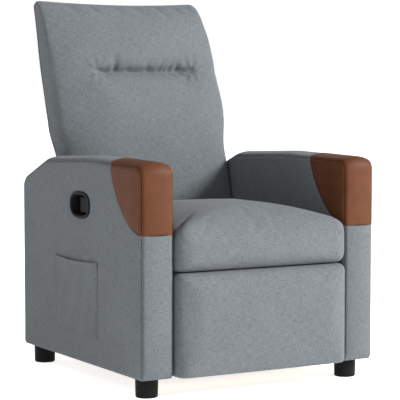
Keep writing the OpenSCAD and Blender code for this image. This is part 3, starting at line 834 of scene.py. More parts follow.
    def weave(self, place: Matrix | None = None) -> "Form":
        """Lays the cloth's coordinates on the piece, in metres.

        Args:
            place: the frame that the yarns follow.

        Returns:
            The piece.
        """
        mesh = self.obj.data
        co = self.points
        if place is not None:
            co = co @ np.array(place.inverted().to_3x3()).T
        loops = np.empty(len(mesh.loops), np.int32)
        mesh.loops.foreach_get("vertex_index", loops)
        normal = np.empty(len(mesh.polygons) * 3, np.float32)
        mesh.polygons.foreach_get("normal", normal)
        normal = normal.reshape(-1, 3)
        if place is not None:
            normal = normal @ np.array(place.inverted().to_3x3()).T
        total = np.empty(len(mesh.polygons), np.int32)
        mesh.polygons.foreach_get("loop_total", total)
        axis = np.repeat(np.argmax(np.abs(normal), axis=1), total)
        corner = co[loops]
        u = np.where(axis == 0, corner[:, 1], corner[:, 0])
        v = np.where(axis == 2, corner[:, 1], corner[:, 2])
        layer = mesh.uv_layers.new(name="weave")
        layer.data.foreach_set("uv", np.stack([u, v], 1).astype(np.float32).ravel())
        return self

    def finish(self, material: bpy.types.Material, slot: Slot, body: str, smooth: float = 60) -> "Form":
        """Gives the piece its finish and its body.

        Args:
            material: its material.
            slot: its slot in the record; not used.
            body: the CAD body it moves with.
            smooth: edges sharper than this stay sharp, in degrees.

        Returns:
            The piece.
        """
        mesh = self.obj.data
        mesh.materials.clear()
        mesh.materials.append(material)
        mesh.shade_smooth()
        mesh.set_sharp_from_angle(angle=math.radians(smooth))
        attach(self.obj, body)
        LOG.info("%s: %d faces", self.obj.name, len(mesh.polygons))
        return self


@dataclass(frozen=True)
class Fold:
    """A soft fold that starts at a seam and dies away.

    Args:
        x: where it meets the seam.
        rise: how far it runs.
        width: of the fold.
        depth: of the fold; below 0 for a valley.
        slant: sideways drift per metre of rise.
    """

    x: float
    rise: float
    width: float
    depth: float
    slant: float = 0.0

    def height(self, x: Array, along: Array) -> Array:
        """The fold's height.

        Args:
            x: across the seam.
            along: distance from the seam.

        Returns:
            The height at each point.
        """
        fade = smoothstep(self.rise, self.rise * 0.15, along) * smoothstep(-0.002, 0.004, along)
        return self.depth * fade * bell(x - self.x - self.slant * along, self.width * (1 + along / self.rise))


class Yarn:
    """Seam lines and stitches laid on a surface."""

    def __init__(self, surface: Form) -> None:
        """Reads the surface.

        Args:
            surface: the piece that they lie on.
        """
        graph = bpy.context.evaluated_depsgraph_get()
        self.tree = BVHTree.FromObject(surface.obj, graph)

    def settle(self, path: Array, lift: float) -> list[tuple[Vector, Vector]]:
        """Drops a path onto the surface.

        Args:
            path: its points.
            lift: how far it stands off the surface.

        Returns:
            Each point with the surface's normal there.
        """
        out = []
        for point in path:
            place, normal, _, _ = self.tree.find_nearest(Vector(point))
            out.append((place + normal * lift, normal))
        return out

    def stitches(self, name: str, paths: Sequence[Array], length: float = 0.0046, gap: float = 0.0022,
                 radius: float = 0.00055) -> Form:
        """Rows of separate stitches.

        Args:
            name: the piece's name.
            paths: the rows.
            length: of a stitch.
            gap: between stitches.
            radius: of the stitches' yarn.

        Returns:
            All the stitches, as one piece.
        """
        bm = bmesh.new()
        for path in paths:
            settled = self.settle(resample(path, length + gap), radius * 0.5)
            for (a, _), (b, _) in zip(settled[:-1], settled[1:]):
                way = b - a
                if not 0.3 * (length + gap) < way.length < 2 * (length + gap):
                    continue
                turn = way.to_track_quat("X", "Z").to_matrix().to_4x4()
                size = Matrix.Diagonal((length / 2, radius, radius, 1))
                place = Matrix.Translation((a + b) / 2) @ turn @ size
                bmesh.ops.create_icosphere(bm, subdivisions=1, radius=1.0, matrix=place)
        return Form.from_bmesh(name, bm)

    def cord(self, name: str, paths: Sequence[Array], radius: float, lift: float = 0.0,
             step: float = 0.004) -> Form:
        """A thin line along each path.

        Args:
            name: the piece's name.
            paths: the lines.
            radius: of the line.
            lift: how far its middle stands off the surface.
            step: spacing of its points.

        Returns:
            All the lines, as one mesh piece.
        """
        curve = bpy.data.curves.new(name, "CURVE")
        curve.dimensions = "3D"
        curve.bevel_depth = radius
        curve.bevel_resolution = 2
        curve.use_fill_caps = True
        for path in paths:
            settled = self.settle(resample(path, step), lift)
            spline = curve.splines.new("POLY")
            spline.points.add(len(settled) - 1)
            for point, (co, _) in zip(spline.points, settled):
                point.co = (*co, 1)
        holder = bpy.data.objects.new(name, curve)
        bpy.context.scene.collection.objects.link(holder)
        graph = bpy.context.evaluated_depsgraph_get()
        mesh = bpy.data.meshes.new_from_object(holder.evaluated_get(graph))
        bpy.data.objects.remove(holder)
        obj = bpy.data.objects.new(name, mesh)
        bpy.context.scene.collection.objects.link(obj)
        return Form(obj)


def resample(path: Array, step: float) -> Array:
    """Spaces a polyline's points evenly.

    Args:
        path: its points.
        step: the spacing wanted.

    Returns:
        The new points, ends included.
    """
    path = np.asarray(path, float)
    lengths = np.concatenate([[0], np.cumsum(np.linalg.norm(np.diff(path, axis=0), axis=1))])
    count = max(2, int(round(lengths[-1] / step)) + 1)
    at = np.linspace(0, lengths[-1], count)
    return np.stack([np.interp(at, lengths, path[:, i]) for i in range(3)], 1)


# ---------------------------------------------------------------- sub-assemblies


@dataclass
class Arm:
    """One padded arm: its cloth cover, leather cap, seams and stitches.

    Args:
        side: which arm.
        layout: shared places.
        palette: materials.
        voxel: size of the cover's faces.
        top_crown: how far the gusset bulges upwards.
        front_crown: how far it bulges forwards.
        rear_crown: how far it bulges to the rear.
        soften: radius of the seamed edges.
        puff: how far the outer side's padding stands out.
        seam_depth: how far the gusset's seams sink in.
        seam_width: half the width of their hollows.
        seam_shade: radius of the dark seam cords, which paint the shade in the seams.
    """

    side: Side
    layout: Layout
    palette: Palette
    voxel: float = 0.004
    top_crown: float = 0.011
    front_crown: float = 0.007
    rear_crown: float = 0.005
    soften: float = 0.006
    puff: float = 0.0022
    seam_depth: float = 0.0024
    seam_width: float = 0.0030
    seam_shade: float = 0.0007

    FOOT = 0.050  # height of the arm's lower edge
    CAP_FOOT = 0.405  # height of the cap's lower edge
    CAP_DEPTH = 0.176  # how far the cap reaches back along the top
    # y behind the front, z and corner radius of each corner of the side view
    OUTLINE = (
        (0.003, FOOT, 0.008), (0.702, FOOT, 0.008), (0.703, 0.509, 0.026),
        (0.552, 0.567, 0.040), (0.290, 0.578, 0.300), (0.003, 0.572, 0.022),
    )
    # control points of the cap's lower edge, from the top down to the front
    CAP_CURVE = ((CAP_DEPTH, 0.605), (0.169, 0.550), (0.106, 0.411), (-0.005, CAP_FOOT))

    @property
    def label(self) -> str:
        """The side's name."""
        return self.side.name.lower()

    def cap_curve(self, count: int = 24) -> list[tuple[float, float]]:
        """The cap's lower edge in side view.

        Args:
            count: how many pieces it has.

        Returns:
            y and z of each point, from the top down to the front.
        """
        p = np.array(self.CAP_CURVE)
        t = np.linspace(0, 1, count + 1)[:, None]
        s = 1 - t
        curve = s ** 3 * p[0] + 3 * s ** 2 * t * p[1] + 3 * s * t ** 2 * p[2] + t ** 3 * p[3]
        return [tuple(q) for q in curve]

    def outline(self) -> list[tuple[float, float, float]]:
        """The side view in the chair's frame.

        Returns:
            y, z and corner radius of each corner.
        """
        return [(y + self.layout.front, z, r) for y, z, r in self.OUTLINE]

    def body(self) -> Form:
        """The arm's whole soft shape.

        Returns:
            The shape, before its cap is divided off.
        """
        lay = self.layout
        form = Form.slab(f"arm_{self.label}", self.outline(), lay.arm_in, lay.arm_out)
        bm = bmesh.new()
        bm.from_mesh(form.obj.data)
        rim = [e for e in bm.edges if abs(e.verts[0].co.x - e.verts[1].co.x) < 1e-6]
        bmesh.ops.bevel(bm, geom=rim, offset=self.soften, segments=3, profile=0.5,
                        affect="EDGES", material=-1)
        bm.to_mesh(form.obj.data)
        bm.free()
        form.remesh(self.voxel).relax(2)
        co, no = form.points, form.normals
        across = (co[:, 0] - (lay.arm_in + lay.arm_out) / 2) / ((lay.arm_out - lay.arm_in) / 2)
        strip = smoothstep(0.25, 0.8, np.hypot(no[:, 1], np.maximum(no[:, 2], 0)))
        crown = (self.top_crown * np.maximum(no[:, 2], 0) ** 2
                 + self.front_crown * np.maximum(-no[:, 1], 0) ** 2
                 + self.rear_crown * np.maximum(no[:, 1], 0) ** 2)
        bulge = strip * crown * (1 - np.clip(across, -1, 1) ** 2)
        bulge *= smoothstep(self.FOOT + 0.002, self.FOOT + 0.025, co[:, 2])
        way = no.copy()
        way[:, 0] = 0
        way /= np.maximum(np.linalg.norm(way, axis=1), 1e-9)[:, None]
        form.displace(bulge, way)
        co, no = form.points, form.normals
        outer = smoothstep(0.6, 0.95, no[:, 0])
        y = co[:, 1] - lay.front
        puff = outer * self.puff * smoothstep(0, 0.06, y) * smoothstep(0.70, 0.62, y)
        puff *= smoothstep(self.FOOT, 0.11, co[:, 2]) * smoothstep(0.59, 0.50, co[:, 2])
        form.displace(puff, (1, 0, 0))
        for line in self.seams():
            form.displace(-self.seam_depth * bell(near_line(form.points, line), self.seam_width))
        return form

    def seams(self) -> list[Array]:
        """The gusset's two seams, one along each edge of the arm.

        Returns:
            Each seam's points, from the front's foot over the top to the rear's foot.
        """
        lay = self.layout
        inset = self.soften * 0.35
        flat = Form.slab("seam_guide", self.outline(), 0, 0.01)
        ring = [v.co.copy() for v in flat.obj.data.vertices if v.co.x < 1e-6]
        flat.remove()
        middle = sum(ring, Vector()) / len(ring)
        top = [c for c in ring if c.z > self.FOOT + 0.002]
        top.sort(key=lambda c: -math.atan2(c.z - self.FOOT, c.y - middle.y))
        lines = []
        for x in (lay.arm_in + inset, lay.arm_out - inset):
            line = np.array([(x, c.y, c.z) for c in top])
            pull = np.array([0, middle.y, middle.z]) - line * [0, 1, 1]
            pull /= np.linalg.norm(pull, axis=1)[:, None]
            lines.append(resample(line + pull * [0, 1, 1] * inset, 0.005))
        return lines

    def cap_prism(self) -> Form:
        """A closed prism round the leather cap.

        Returns:
            The prism.
        """
        lay = self.layout
        corners = [(-0.05, 0.66, 0.0), (-0.05, self.CAP_FOOT, 0.0)]
        corners += [(y, z, 0.0) for y, z in reversed(self.cap_curve())]
        corners.append((self.CAP_DEPTH, 0.66, 0.0))
        corners = [(y + lay.front, z, r) for y, z, r in corners]
        return Form.slab("cap_prism", corners, lay.arm_in - 0.05, lay.arm_out + 0.05)

    def cap_seam(self) -> list[Array]:
        """The seam between leather and cloth.

        Returns:
            Lines down both sides, over the top and across the front.
        """
        lay = self.layout
        curve = [(y + lay.front, z) for y, z in self.cap_curve()]
        xs = np.linspace(lay.arm_in, lay.arm_out, 12)
        lines = [np.array([(x, y, z) for y, z in curve]) for x in (lay.arm_in, lay.arm_out)]
        lines.append(np.array([(x, curve[0][0], 0.592) for x in xs]))
        lines.append(np.array([(x, lay.front - 0.004, self.CAP_FOOT) for x in xs]))
        return lines

    def opening(self) -> Form:
        """The oval hole for the release cup.

        Returns:
            A closed prism through the arm's outer face.
        """
        low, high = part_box("handle_cup")
        corners = [(y, z, 0.0) for y, z in ReleaseCup.oval(low, high, ReleaseCup.LIP)]
        depth = high.x - low.x
        return Form.slab("cup_opening", corners, self.layout.arm_out - depth, self.layout.arm_out + 0.02)

    def build(self) -> None:
        """Builds the arm's pieces."""
        whole = self.body()
        prism = self.cap_prism()
        leather = whole.duplicate(f"arm_cap_{self.label}").boolean(prism, "INTERSECT")
        cover = whole.boolean(prism, "DIFFERENCE")
        prism.remove()
        seam = self.cap_seam()
        for form, lift in ((leather, 0.0010), (cover, 0.0)):
            gap = np.minimum.reduce([near_line(form.points, line) for line in seam])
            form.displace(lift * smoothstep(0.0, 0.004, gap) - 0.0022 * bell(gap, 0.0032))
        if self.side is Side.RIGHT:
            hole = self.opening()
            dip = -0.0026 * bell(np.maximum(self.ring_gap(cover), 0), 0.010)
            cover.displace(dip * smoothstep(0.6, 0.9, cover.normals[:, 0]))
            cover.boolean(hole, "DIFFERENCE")
            hole.remove()
        stitches = self.stitching(leather)
        cover_shade_lines, cap_shade_lines = self.seam_shade_lines(cover), self.cap_shade_lines(leather)
        if self.side is Side.RIGHT:
            for piece in (cover, leather, stitches, cover_shade_lines, cap_shade_lines):
                piece.mirror()
        skin = self.palette.get(Slot.LEATHER)
        cover.weave().finish(self.palette.get(Slot.BODY), Slot.BODY, "base")
        leather.finish(skin, Slot.LEATHER, "base")
        stitches.finish(skin, Slot.LEATHER, "base")
        # the dark seam cords paint the shade in the seams
        cover_shade_lines.finish(self.palette.seam_shade(Slot.BODY), Slot.BODY, "base")
        cap_shade_lines.finish(self.palette.seam_shade(Slot.LEATHER), Slot.LEATHER, "base")
        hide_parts(f"arm_cover_{self.label}")
        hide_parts(f"arm_leather_{self.label}")

    def ring_gap(self, form: Form) -> Array:
        """Distance of a surface from the release cup's rim.

        Args:
            form: the surface.

        Returns:
            The distance of each vertex, below 0 inside the rim.
        """
        low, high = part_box("handle_cup")
        corner = 0.03
        co = form.points
        half_y, half_z = (high.y - low.y) / 2, (high.z - low.z) / 2
        y = np.abs(co[:, 1] - (low.y + high.y) / 2) - (half_y - corner)
        z = np.abs(co[:, 2] - (low.z + high.z) / 2) - (half_z - corner)
        return np.hypot(np.maximum(y, 0), np.maximum(z, 0)) + np.minimum(np.maximum(y, z), 0) - corner

    def stitching(self, leather: Form) -> Form:
        """Rows of stitches along the cap's seams.

        Args:
            leather: the cap.

        Returns:
            The stitches.
        """
        rows = []
        inner, outer = self.seams()
        rear = self.layout.front + self.CAP_DEPTH - 0.026
        for line, step in ((outer, 1), (inner, -1)):
            part = line[(line[:, 2] > self.CAP_FOOT + 0.004) & (line[:, 1] < rear)]
            upright = part[:, 2:3] < 0.57
            rows.append(part - [0.0065 * step, 0, 0])
            rows.append(part + [0, 0.008, 0] * upright - [0, 0, 0.008] * ~upright + [0.004 * step, 0, 0])
        for line in self.cap_seam()[:2]:
            rows.append(line[2:-1] + [0, -0.0035, 0.0035])
        return Yarn(leather).stitches(f"cap_stitches_{self.label}", rows)

    def cap_shade_lines(self, leather: Form) -> Form:
        """Dark cords along the seams of the cap's side and gusset panels, painting the seams' shade.

        Args:
            leather: the cap.

        Returns:
            The lines.
        """
        foot, rear = self.CAP_FOOT + 0.003, self.layout.front + self.CAP_DEPTH - 0.006
        paths = [line[(line[:, 2] > foot) & (line[:, 1] < rear)] for line in self.seams()]
        return Yarn(leather).cord(f"cap_painted_seam_shade_{self.label}", paths, self.seam_shade)

    def seam_shade_lines(self, cover: Form) -> Form:
        """Fine dark cords where the cloth panels meet, painting the seams' shade.

        Args:
            cover: the cloth cover.

        Returns:
            The lines.
        """
        paths = []
        for line in self.seams():
            low = line[(line[:, 2] < self.CAP_FOOT - 0.005) & (line[:, 1] < 0)]
            high = line[line[:, 1] > self.layout.front + self.CAP_DEPTH - 0.004]
            paths += [p for p in (low, high) if len(p) > 1]
        return Yarn(cover).cord(f"arm_painted_seam_shade_{self.label}", paths, self.seam_shade, -0.0002)


@dataclass
class ReleaseCup:
    """The oval cup round the release lever.

    Args:
        layout: shared places.
        palette: materials.
    """

    layout: Layout
    palette: Palette

    POWER = 2.6  # 2 is an ellipse, more is squarer
    POINTS = 96
    LIP = 0.0056  # how far the lip covers the edge of the arm's hole
    # inset from the cup's box and height above the arm, from the wall's foot over the lip to the floor
    RINGS = (
        (0.0066, -0.0290), (0.0066, -0.0020), (0.0006, -0.0010), (0.0000, 0.0006), (0.0010, 0.0022),
        (0.0032, 0.0031), (0.0062, 0.0030), (0.0082, 0.0018), (0.0096, -0.0010), (0.0125, -0.0230),
        (0.0170, -0.0262),
    )

    @classmethod
    def oval(cls, low: Vector, high: Vector, inset: float) -> list[tuple[float, float]]:
        """An oval that fills a box, in side view.

        Args:
            low: the box's lower corner.
            high: its upper corner.
            inset: how far the oval stays inside it.

        Returns:
            y and z of each point.
        """
        half = ((high.y - low.y) / 2 - inset, (high.z - low.z) / 2 - inset)
        middle = ((high.y + low.y) / 2, (high.z + low.z) / 2)
        points = []
        for step in range(cls.POINTS):
            angle = TAU * step / cls.POINTS
            c, s = math.cos(angle), math.sin(angle)
            points.append((middle[0] + math.copysign(abs(c) ** (2 / cls.POWER), c) * half[0],
                           middle[1] + math.copysign(abs(s) ** (2 / cls.POWER), s) * half[1]))
        return points

    def build(self) -> None:
        """Builds the cup from rings, as one closed shape."""
        low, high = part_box("handle_cup")
        bm = bmesh.new()
        loops = []
        for number, (inset, proud) in enumerate(self.RINGS):
            capped = number in (0, len(self.RINGS) - 1)
            ring = bmesh.ops.create_circle(bm, segments=self.POINTS, radius=1, cap_ends=capped)["verts"]
            for v, (y, z) in zip(ring, self.oval(low, high, inset)):
                v.co = Vector((-(self.layout.arm_out + proud), y, z))
            loops.append(list({e for v in ring for e in v.link_edges}))
        for one, two in zip(loops, loops[1:]):
            bmesh.ops.bridge_loops(bm, edges=one + two)
        cup = Form.from_bmesh("handle_cup_oval", bm)
        cup.finish(self.palette.get(Slot.HANDLE), Slot.HANDLE, "base", 35)
        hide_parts("handle_cup")


@dataclass
class Pocket:
    """The pouch on the outer face of the right arm.

    Args:
        layout: shared places.
        palette: materials.
        sag: how far the mouth droops.
        slack: how far the mouth stands open.
    """

    layout: Layout
    palette: Palette
    sag: float = 0.005
    slack: float = 0.0035

    STITCH_INSETS = (0.003, 0.009)

    def sheet(self, low: Vector, high: Vector) -> Form:
        """The pouch's cloth, with its hem and its ripples.

        Args:
            low: lower corner of the CAD pocket's box.
            high: its upper corner.

        Returns:
            The cloth, closed.
        """
        bm = bmesh.new()
        bmesh.ops.create_grid(bm, x_segments=90, y_segments=80, size=0.5)
        for v in bm.verts:
            s, t = v.co.x + 0.5, v.co.y + 0.5
            droop = self.sag * math.sin(math.pi * s) * t ** 6
            edge = min(s, 1 - s, t + 0.02) * (high.y - low.y)
            rise = 0.0022 + 0.0020 * min(1.0, edge / 0.02)
            gape = self.slack * math.sin(math.pi * min(1, s * 0.75 + 0.2)) * t ** 8
            v.co = Vector((
                -(self.layout.arm_out + rise + gape),
                low.y + s * (high.y - low.y),
                low.z + t * (high.z - low.z) - droop,
            ))
        patch = Form.from_bmesh("side_pocket_cloth", bm)
        patch.apply("SOLIDIFY", thickness=0.0016, offset=0.0)
        co = patch.points
        t = (co[:, 2] - low.z) / (high.z - low.z)
        s = (co[:, 1] - low.y) / (high.y - low.y)
        ripple = 0.0007 * np.sin(s * 9 + 2 * t) * np.sin(t * 7 + 1) + 0.0005 * np.sin(s * 23 + 5 * t)
        hem = 0.0007 * (smoothstep(0.922, 0.930, t) - 0.9 * bell(t - 0.925, 0.006))
        return patch.displace(-(ripple * smoothstep(0, 0.1, s) * smoothstep(1, 0.9, s) + hem), (1, 0, 0))

    def build(self) -> None:
        """Builds the pouch and its stitches."""
        low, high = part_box("side_pocket")
        patch = self.sheet(low, high)
        cloth = self.palette.get(Slot.BODY)
        rows = []
        x, mouth = -(self.layout.arm_out + 0.02), high.z - 0.004
        for inset in self.STITCH_INSETS:
            y0, y1, z0 = low.y + inset, high.y - inset, low.z + inset
            rows.append(np.array([(x, y0, z0), (x, y0, mouth)]))
            rows.append(np.array([(x, y1, z0), (x, y1, mouth)]))
            rows.append(np.array([(x, y0, z0), (x, y1, z0)]))
        stitches = Yarn(patch).stitches("pocket_stitches", rows, 0.0034, 0.0018, 0.0004)
        patch.weave().finish(cloth, Slot.BODY, "base")
        stitches.weave().finish(cloth, Slot.BODY, "base")
        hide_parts("side_pocket")


@dataclass
class Seat:
    """The seat cushion.

    Args:
        layout: shared places.
        palette: materials.
        voxel: size of its faces before they are refined.
        swell: how far the filling may blow it up.
        turn: how far the roll's lower edge turns under.
        turn_height: height of the stretch that turns.
        settle: how far the top is pressed down.
        half: half of its width.
        seam: height of the seam under the cushion, behind the roll.
        foot: height of the roll's lower seam.
    """

    layout: Layout
    palette: Palette
    voxel: float = 0.007
    swell: float = 0.010
    turn: float = 0.016
    turn_height: float = 0.034
    settle: float = 0.015
    half: float = 0.250
    seam: float = 0.372
    foot: float = 0.314

    def build(self) -> None:
        """Builds the cushion."""
        form = Form.copies("seat_cushion_cloth", ["seat_cushion"]).remesh(self.voxel).relax(14)
        co = form.points
        behind = smoothstep(0.03, 0.06, co[:, 1] - self.layout.front)
        held = smoothstep(self.seam + 0.013, self.seam, co[:, 2]) * behind
        held = np.maximum(held, smoothstep(self.foot + 0.010, self.foot, co[:, 2]))
        held = np.maximum(held, smoothstep(self.half - 0.015, self.half - 0.001, np.abs(co[:, 0])) * 0.9)
        form.inflate(held, self.swell).relax(2).refine()
        co = form.points
        low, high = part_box("seat_cushion")
        turn = np.clip((low.z + self.turn_height - co[:, 2]) / self.turn_height, 0, 1) ** 2.4
        form.displace(self.turn * turn * smoothstep(0.06, 0.03, co[:, 1] - self.layout.front), (0, 1, 0))
        form.displace(-0.0016 * smoothstep(low.z + 0.012, low.z, co[:, 2]), (0, 0, 1))
        form.displace(-self.settle * smoothstep(high.z - 0.09, high.z + 0.010, co[:, 2]), (0, 0, 1))
        form.weave().finish(self.palette.get(Slot.CUSHION), Slot.CUSHION, "seat")
        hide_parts("seat_cushion")


@dataclass
class Footrest:
    """The footrest's cushion.

    Args:
        palette: materials.
        voxel: size of its faces before they are refined.
        swell: how far the filling may blow it up.
        turn: how far its upper edge turns in.
        turn_height: height of the stretch that turns.
        half: half of its width.
    """

    palette: Palette
    voxel: float = 0.006
    swell: float = 0.006
    turn: float = 0.009
    turn_height: float = 0.018
    half: float = 0.250

    def build(self) -> None:
        """Builds the cushion."""
        form = Form.copies("footrest_cushion_cloth", ["footrest_pad"]).remesh(self.voxel).relax(8)
        co = form.points
        low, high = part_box("footrest_pad")
        held = smoothstep(high.y - 0.022, high.y - 0.008, co[:, 1])
        held = np.maximum(held, smoothstep(self.half - 0.012, self.half - 0.001, np.abs(co[:, 0])) * 0.95)
        held = np.maximum(held, smoothstep(high.z - 0.008, high.z - 0.001, co[:, 2]) * 0.9)
        held = np.maximum(held, smoothstep(low.z + 0.035, low.z + 0.012, co[:, 2]) * 0.97)
        form.inflate(held, self.swell).relax(2).refine()
        co = form.points
        turn = np.clip((co[:, 2] - high.z + self.turn_height) / self.turn_height, 0, 1) ** 2.2
        form.displace(self.turn * turn * smoothstep(low.y + 0.05, low.y + 0.02, co[:, 1]), (0, 1, 0))
        form.displace(0.0016 * smoothstep(high.z - 0.012, high.z, co[:, 2]), (0, 0, 1))
        form.weave().finish(self.palette.get(Slot.CUSHION), Slot.CUSHION, "footrest")
        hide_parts("footrest_pad")


@dataclass
class Back:
    """The back: a tufted pillow and the cloth panel behind it.

    Args:
        layout: shared places.
        palette: materials.
        voxel: size of the pillow's faces before they are refined.
        crease: height of the tufted crease above the hinge, along the back.
        tuft_middle: middle of the crease's deep part, across the back.
        tuft_half: half the length of its deep part.
        seam: where the pillow meets the rear panel, behind the hinge.
        top_sag: how far the top dips between its corners.
        shoulder: how far in from the sides the front begins to fall away.
        half: half of its width.
        top: its height above the hinge.
        swell: how far the filling may blow it up.
    """

    layout: Layout
    palette: Palette
    voxel: float = 0.0056
    crease: float = 0.424
    tuft_middle: float = 0.022
    tuft_half: float = 0.145
    seam: float = 0.020
    top_sag: float = 0.009
    shoulder: float = 0.145
    half: float = 0.250
    top: float = 0.649
    swell: float = 0.014

    # x, rise, width, depth and slant of each fold, above the crease, below it and under the top seam
    HEAD_FOLDS = (
        Fold(-0.070, 0.060, 0.0075, -0.0062, 0.00), Fold(-0.092, 0.044, 0.0085, 0.0018, -0.10),
        Fold(-0.030, 0.024, 0.0065, -0.0026, 0.10), Fold(0.034, 0.036, 0.0075, -0.0036, 0.05),
        Fold(0.070, 0.042, 0.0060, -0.0032, 0.45), Fold(0.088, 0.040, 0.0055, -0.0028, 0.40),
        Fold(0.104, 0.044, 0.0060, -0.0044, 0.30), Fold(0.128, 0.044, 0.0075, -0.0052, 0.05),
        Fold(0.152, 0.026, 0.0080, -0.0022, 0.35), Fold(-0.108, 0.040, 0.0100, 0.0016, -0.30),
    )
    LUMBAR_FOLDS = (
        Fold(-0.100, 0.030, 0.0090, -0.0018, -0.50), Fold(-0.020, 0.022, 0.0090, -0.0010, 0.00),
        Fold(0.040, 0.026, 0.0080, -0.0014, 0.30), Fold(0.074, 0.034, 0.0080, -0.0022, 0.60),
        Fold(0.106, 0.036, 0.0085, -0.0026, 0.70), Fold(0.140, 0.032, 0.0085, -0.0024, 0.70),
    )
    TOP_FOLDS = (
        Fold(-0.169, 0.080, 0.0125, -0.0032, 0.50), Fold(-0.102, 0.086, 0.0115, -0.0042, 0.55),
        Fold(-0.027, 0.080, 0.0115, -0.0040, 0.60), Fold(0.040, 0.062, 0.0105, -0.0034, 0.60),
        Fold(0.112, 0.084, 0.0110, -0.0044, 0.60), Fold(0.166, 0.066, 0.0100, -0.0038, 0.55),
        Fold(0.214, 0.046, 0.0090, -0.0024, 0.40),
    )

    def local(self, form: Form) -> tuple[Array, Array]:
        """Points and normals in the back's own frame.

        Args:
            form: a piece.

        Returns:
            The points and the normals.
        """
        inverse = np.array(self.layout.back.inverted())
        return form.points @ inverse[:3, :3].T + inverse[:3, 3], form.normals @ inverse[:3, :3].T

    def push(self, form: Form, amount: Array, along: Sequence[float]) -> None:
        """Moves a piece's points along a direction of the back's own frame.

        Args:
            form: the piece.
            amount: how far each point moves.
            along: the direction.
        """
        form.displace(amount, self.layout.back.to_3x3() @ Vector(along))

    def tuft(self, co: Array) -> Array:
        """Depth of the tufted crease.

        Args:
            co: points in the back's own frame.

        Returns:
            How far the cloth is pulled in.
        """
        x, dz = np.abs(co[:, 0] - self.tuft_middle), co[:, 2] - self.crease
        strong = smoothstep(self.tuft_half + 0.022, self.tuft_half - 0.030, x)
        wide = bell(dz, np.where(dz > 0, 0.020, 0.040)) * (0.004 + 0.012 * strong)
        narrow = bell(dz, np.where(dz > 0, 0.009, 0.010)) * (0.0035 + 0.016 * strong)
        return wide + narrow

    def block(self) -> Form:
        """The cushion joined with a closed hull of its border and panel.

        Returns:
            The joined piece.
        """
        form = Form.copies("back_cushion_cloth", ["back_cushion"])
        shell = Form.copies("back_shell", ["back_border", "back_panel"])
        bm = bmesh.new()
        bm.from_mesh(shell.obj.data)
        shell.remove()
        hull = bmesh.ops.convex_hull(bm, input=bm.verts)["geom"]
        faces = {f for f in hull if isinstance(f, bmesh.types.BMFace)}
        bmesh.ops.delete(bm, geom=[f for f in bm.faces if f not in faces], context="FACES")
        bm.from_mesh(form.obj.data)
        bm.to_mesh(form.obj.data)
        bm.free()
        return form

    def whole(self) -> Form:
        """The back's soft shape, before it is divided.

        Returns:
            The shape.
        """
        form = self.block().remesh(self.voxel).relax(8)
        co, _ = self.local(form)
        edge = np.clip((np.abs(co[:, 0]) - self.half + self.shoulder) / self.shoulder, 0, 1)
        fore = np.clip((self.seam - 0.012 - co[:, 1]) / 0.108, 0, 1)
        left = smoothstep(0.05, -0.05, co[:, 0])
        fall = (0.005 + 0.033 * left) * edge ** 1.7 + (0.006 + 0.004 * left) * edge ** 8
        self.push(form, fore * fall, (0, 1, 0))
        height = co[:, 2]
        swell = smoothstep(0.185, 0.285, height) * (0.0115 - 0.0060 * smoothstep(0.44, self.top, height))
        swell = swell + 0.006 * (1 - left) * bell(height - 0.32, 0.07) * smoothstep(0.185, 0.285, height)
        swell = swell - 0.010 * fore ** 3 * left - 0.006 * smoothstep(0.02, 0.07, co[:, 1])
        self.push(form, np.sign(co[:, 0]) * swell * smoothstep(0.14, self.half, np.abs(co[:, 0])), (1, 0, 0))
        co, no = self.local(form)
        front = smoothstep(0.15, 0.7, -no[:, 1])
        self.push(form, self.tuft(co) * front, (0, 1, 0))
        form.relax(1, 0.4)
        co, _ = self.local(form)
        near = bell(co[:, 2] - self.crease, 0.009)
        near = near * smoothstep(self.tuft_half + 0.02, self.tuft_half, np.abs(co[:, 0] - self.tuft_middle))
        held = np.maximum(near, smoothstep(-0.006, 0.008, co[:, 1]))
        held = np.maximum(held, smoothstep(0.022, 0.006, co[:, 2]))
        held = np.maximum(held, 0.8 * smoothstep(self.half - 0.010, self.half, np.abs(co[:, 0])))
        held = np.maximum(held, 0.9 * smoothstep(self.top - 0.012, self.top, co[:, 2]))
        form.inflate(held, self.swell).refine()
        co, no = self.local(form)
        form.displace(self.gathers(co) * smoothstep(0.1, 0.6, -no[:, 1]))
        co, _ = self.local(form)
        high = smoothstep(self.top - 0.10, self.top, co[:, 2])
        self.push(form, -self.top_sag * high * (1 - (co[:, 0] / self.half) ** 2), (0, 0, 1))
        return form

    def gathers(self, co: Array) -> Array:
        """Crowns, folds and puckers of the pillow's front.

        Args:
            co: points in the back's own frame.

        Returns:
            How far outwards each point moves.
        """
        x, z = co[:, 0], co[:, 2]
        wide = smoothstep(0.245, 0.06, np.abs(x))
        total = 0.006 * wide * bell(z - 0.515, 0.060) + 0.007 * wide * bell(z - 0.25, 0.15)
        for fold in self.HEAD_FOLDS:
            total += fold.height(x, z - self.crease - 0.002)
        for fold in self.LUMBAR_FOLDS:
            total += fold.height(x, self.crease - 0.006 - z)
        for fold in self.TOP_FOLDS:
            total += fold.height(x, self.top - 0.006 - z)
        total -= 0.0035 * bell(self.top - 0.004 - z, 0.005)
        for end in (-1, 1):
            tip = self.tuft_middle + end * (self.tuft_half + 0.006)
            reach = np.hypot(x - tip, (z - self.crease) * 1.1)
            total -= 0.0055 * bell(reach, 0.012)
            angle = np.arctan2(z - self.crease, (x - tip) * end)
            total += 0.0014 * np.cos(angle * 7 + 0.5) * bell(reach - 0.028, 0.016)
        return total

    def cutter(self) -> Form:
        """A block that holds all that lies behind the seam.

        Returns:
            The block.
        """
        bm = bmesh.new()
        block = Matrix.Translation((0, self.seam + 0.1, 0.35)) @ Matrix.Diagonal((0.8, 0.2, 1.0, 1))
        bmesh.ops.create_cube(bm, size=1, matrix=self.layout.back @ block)
        return Form.from_bmesh("rear_block", bm)

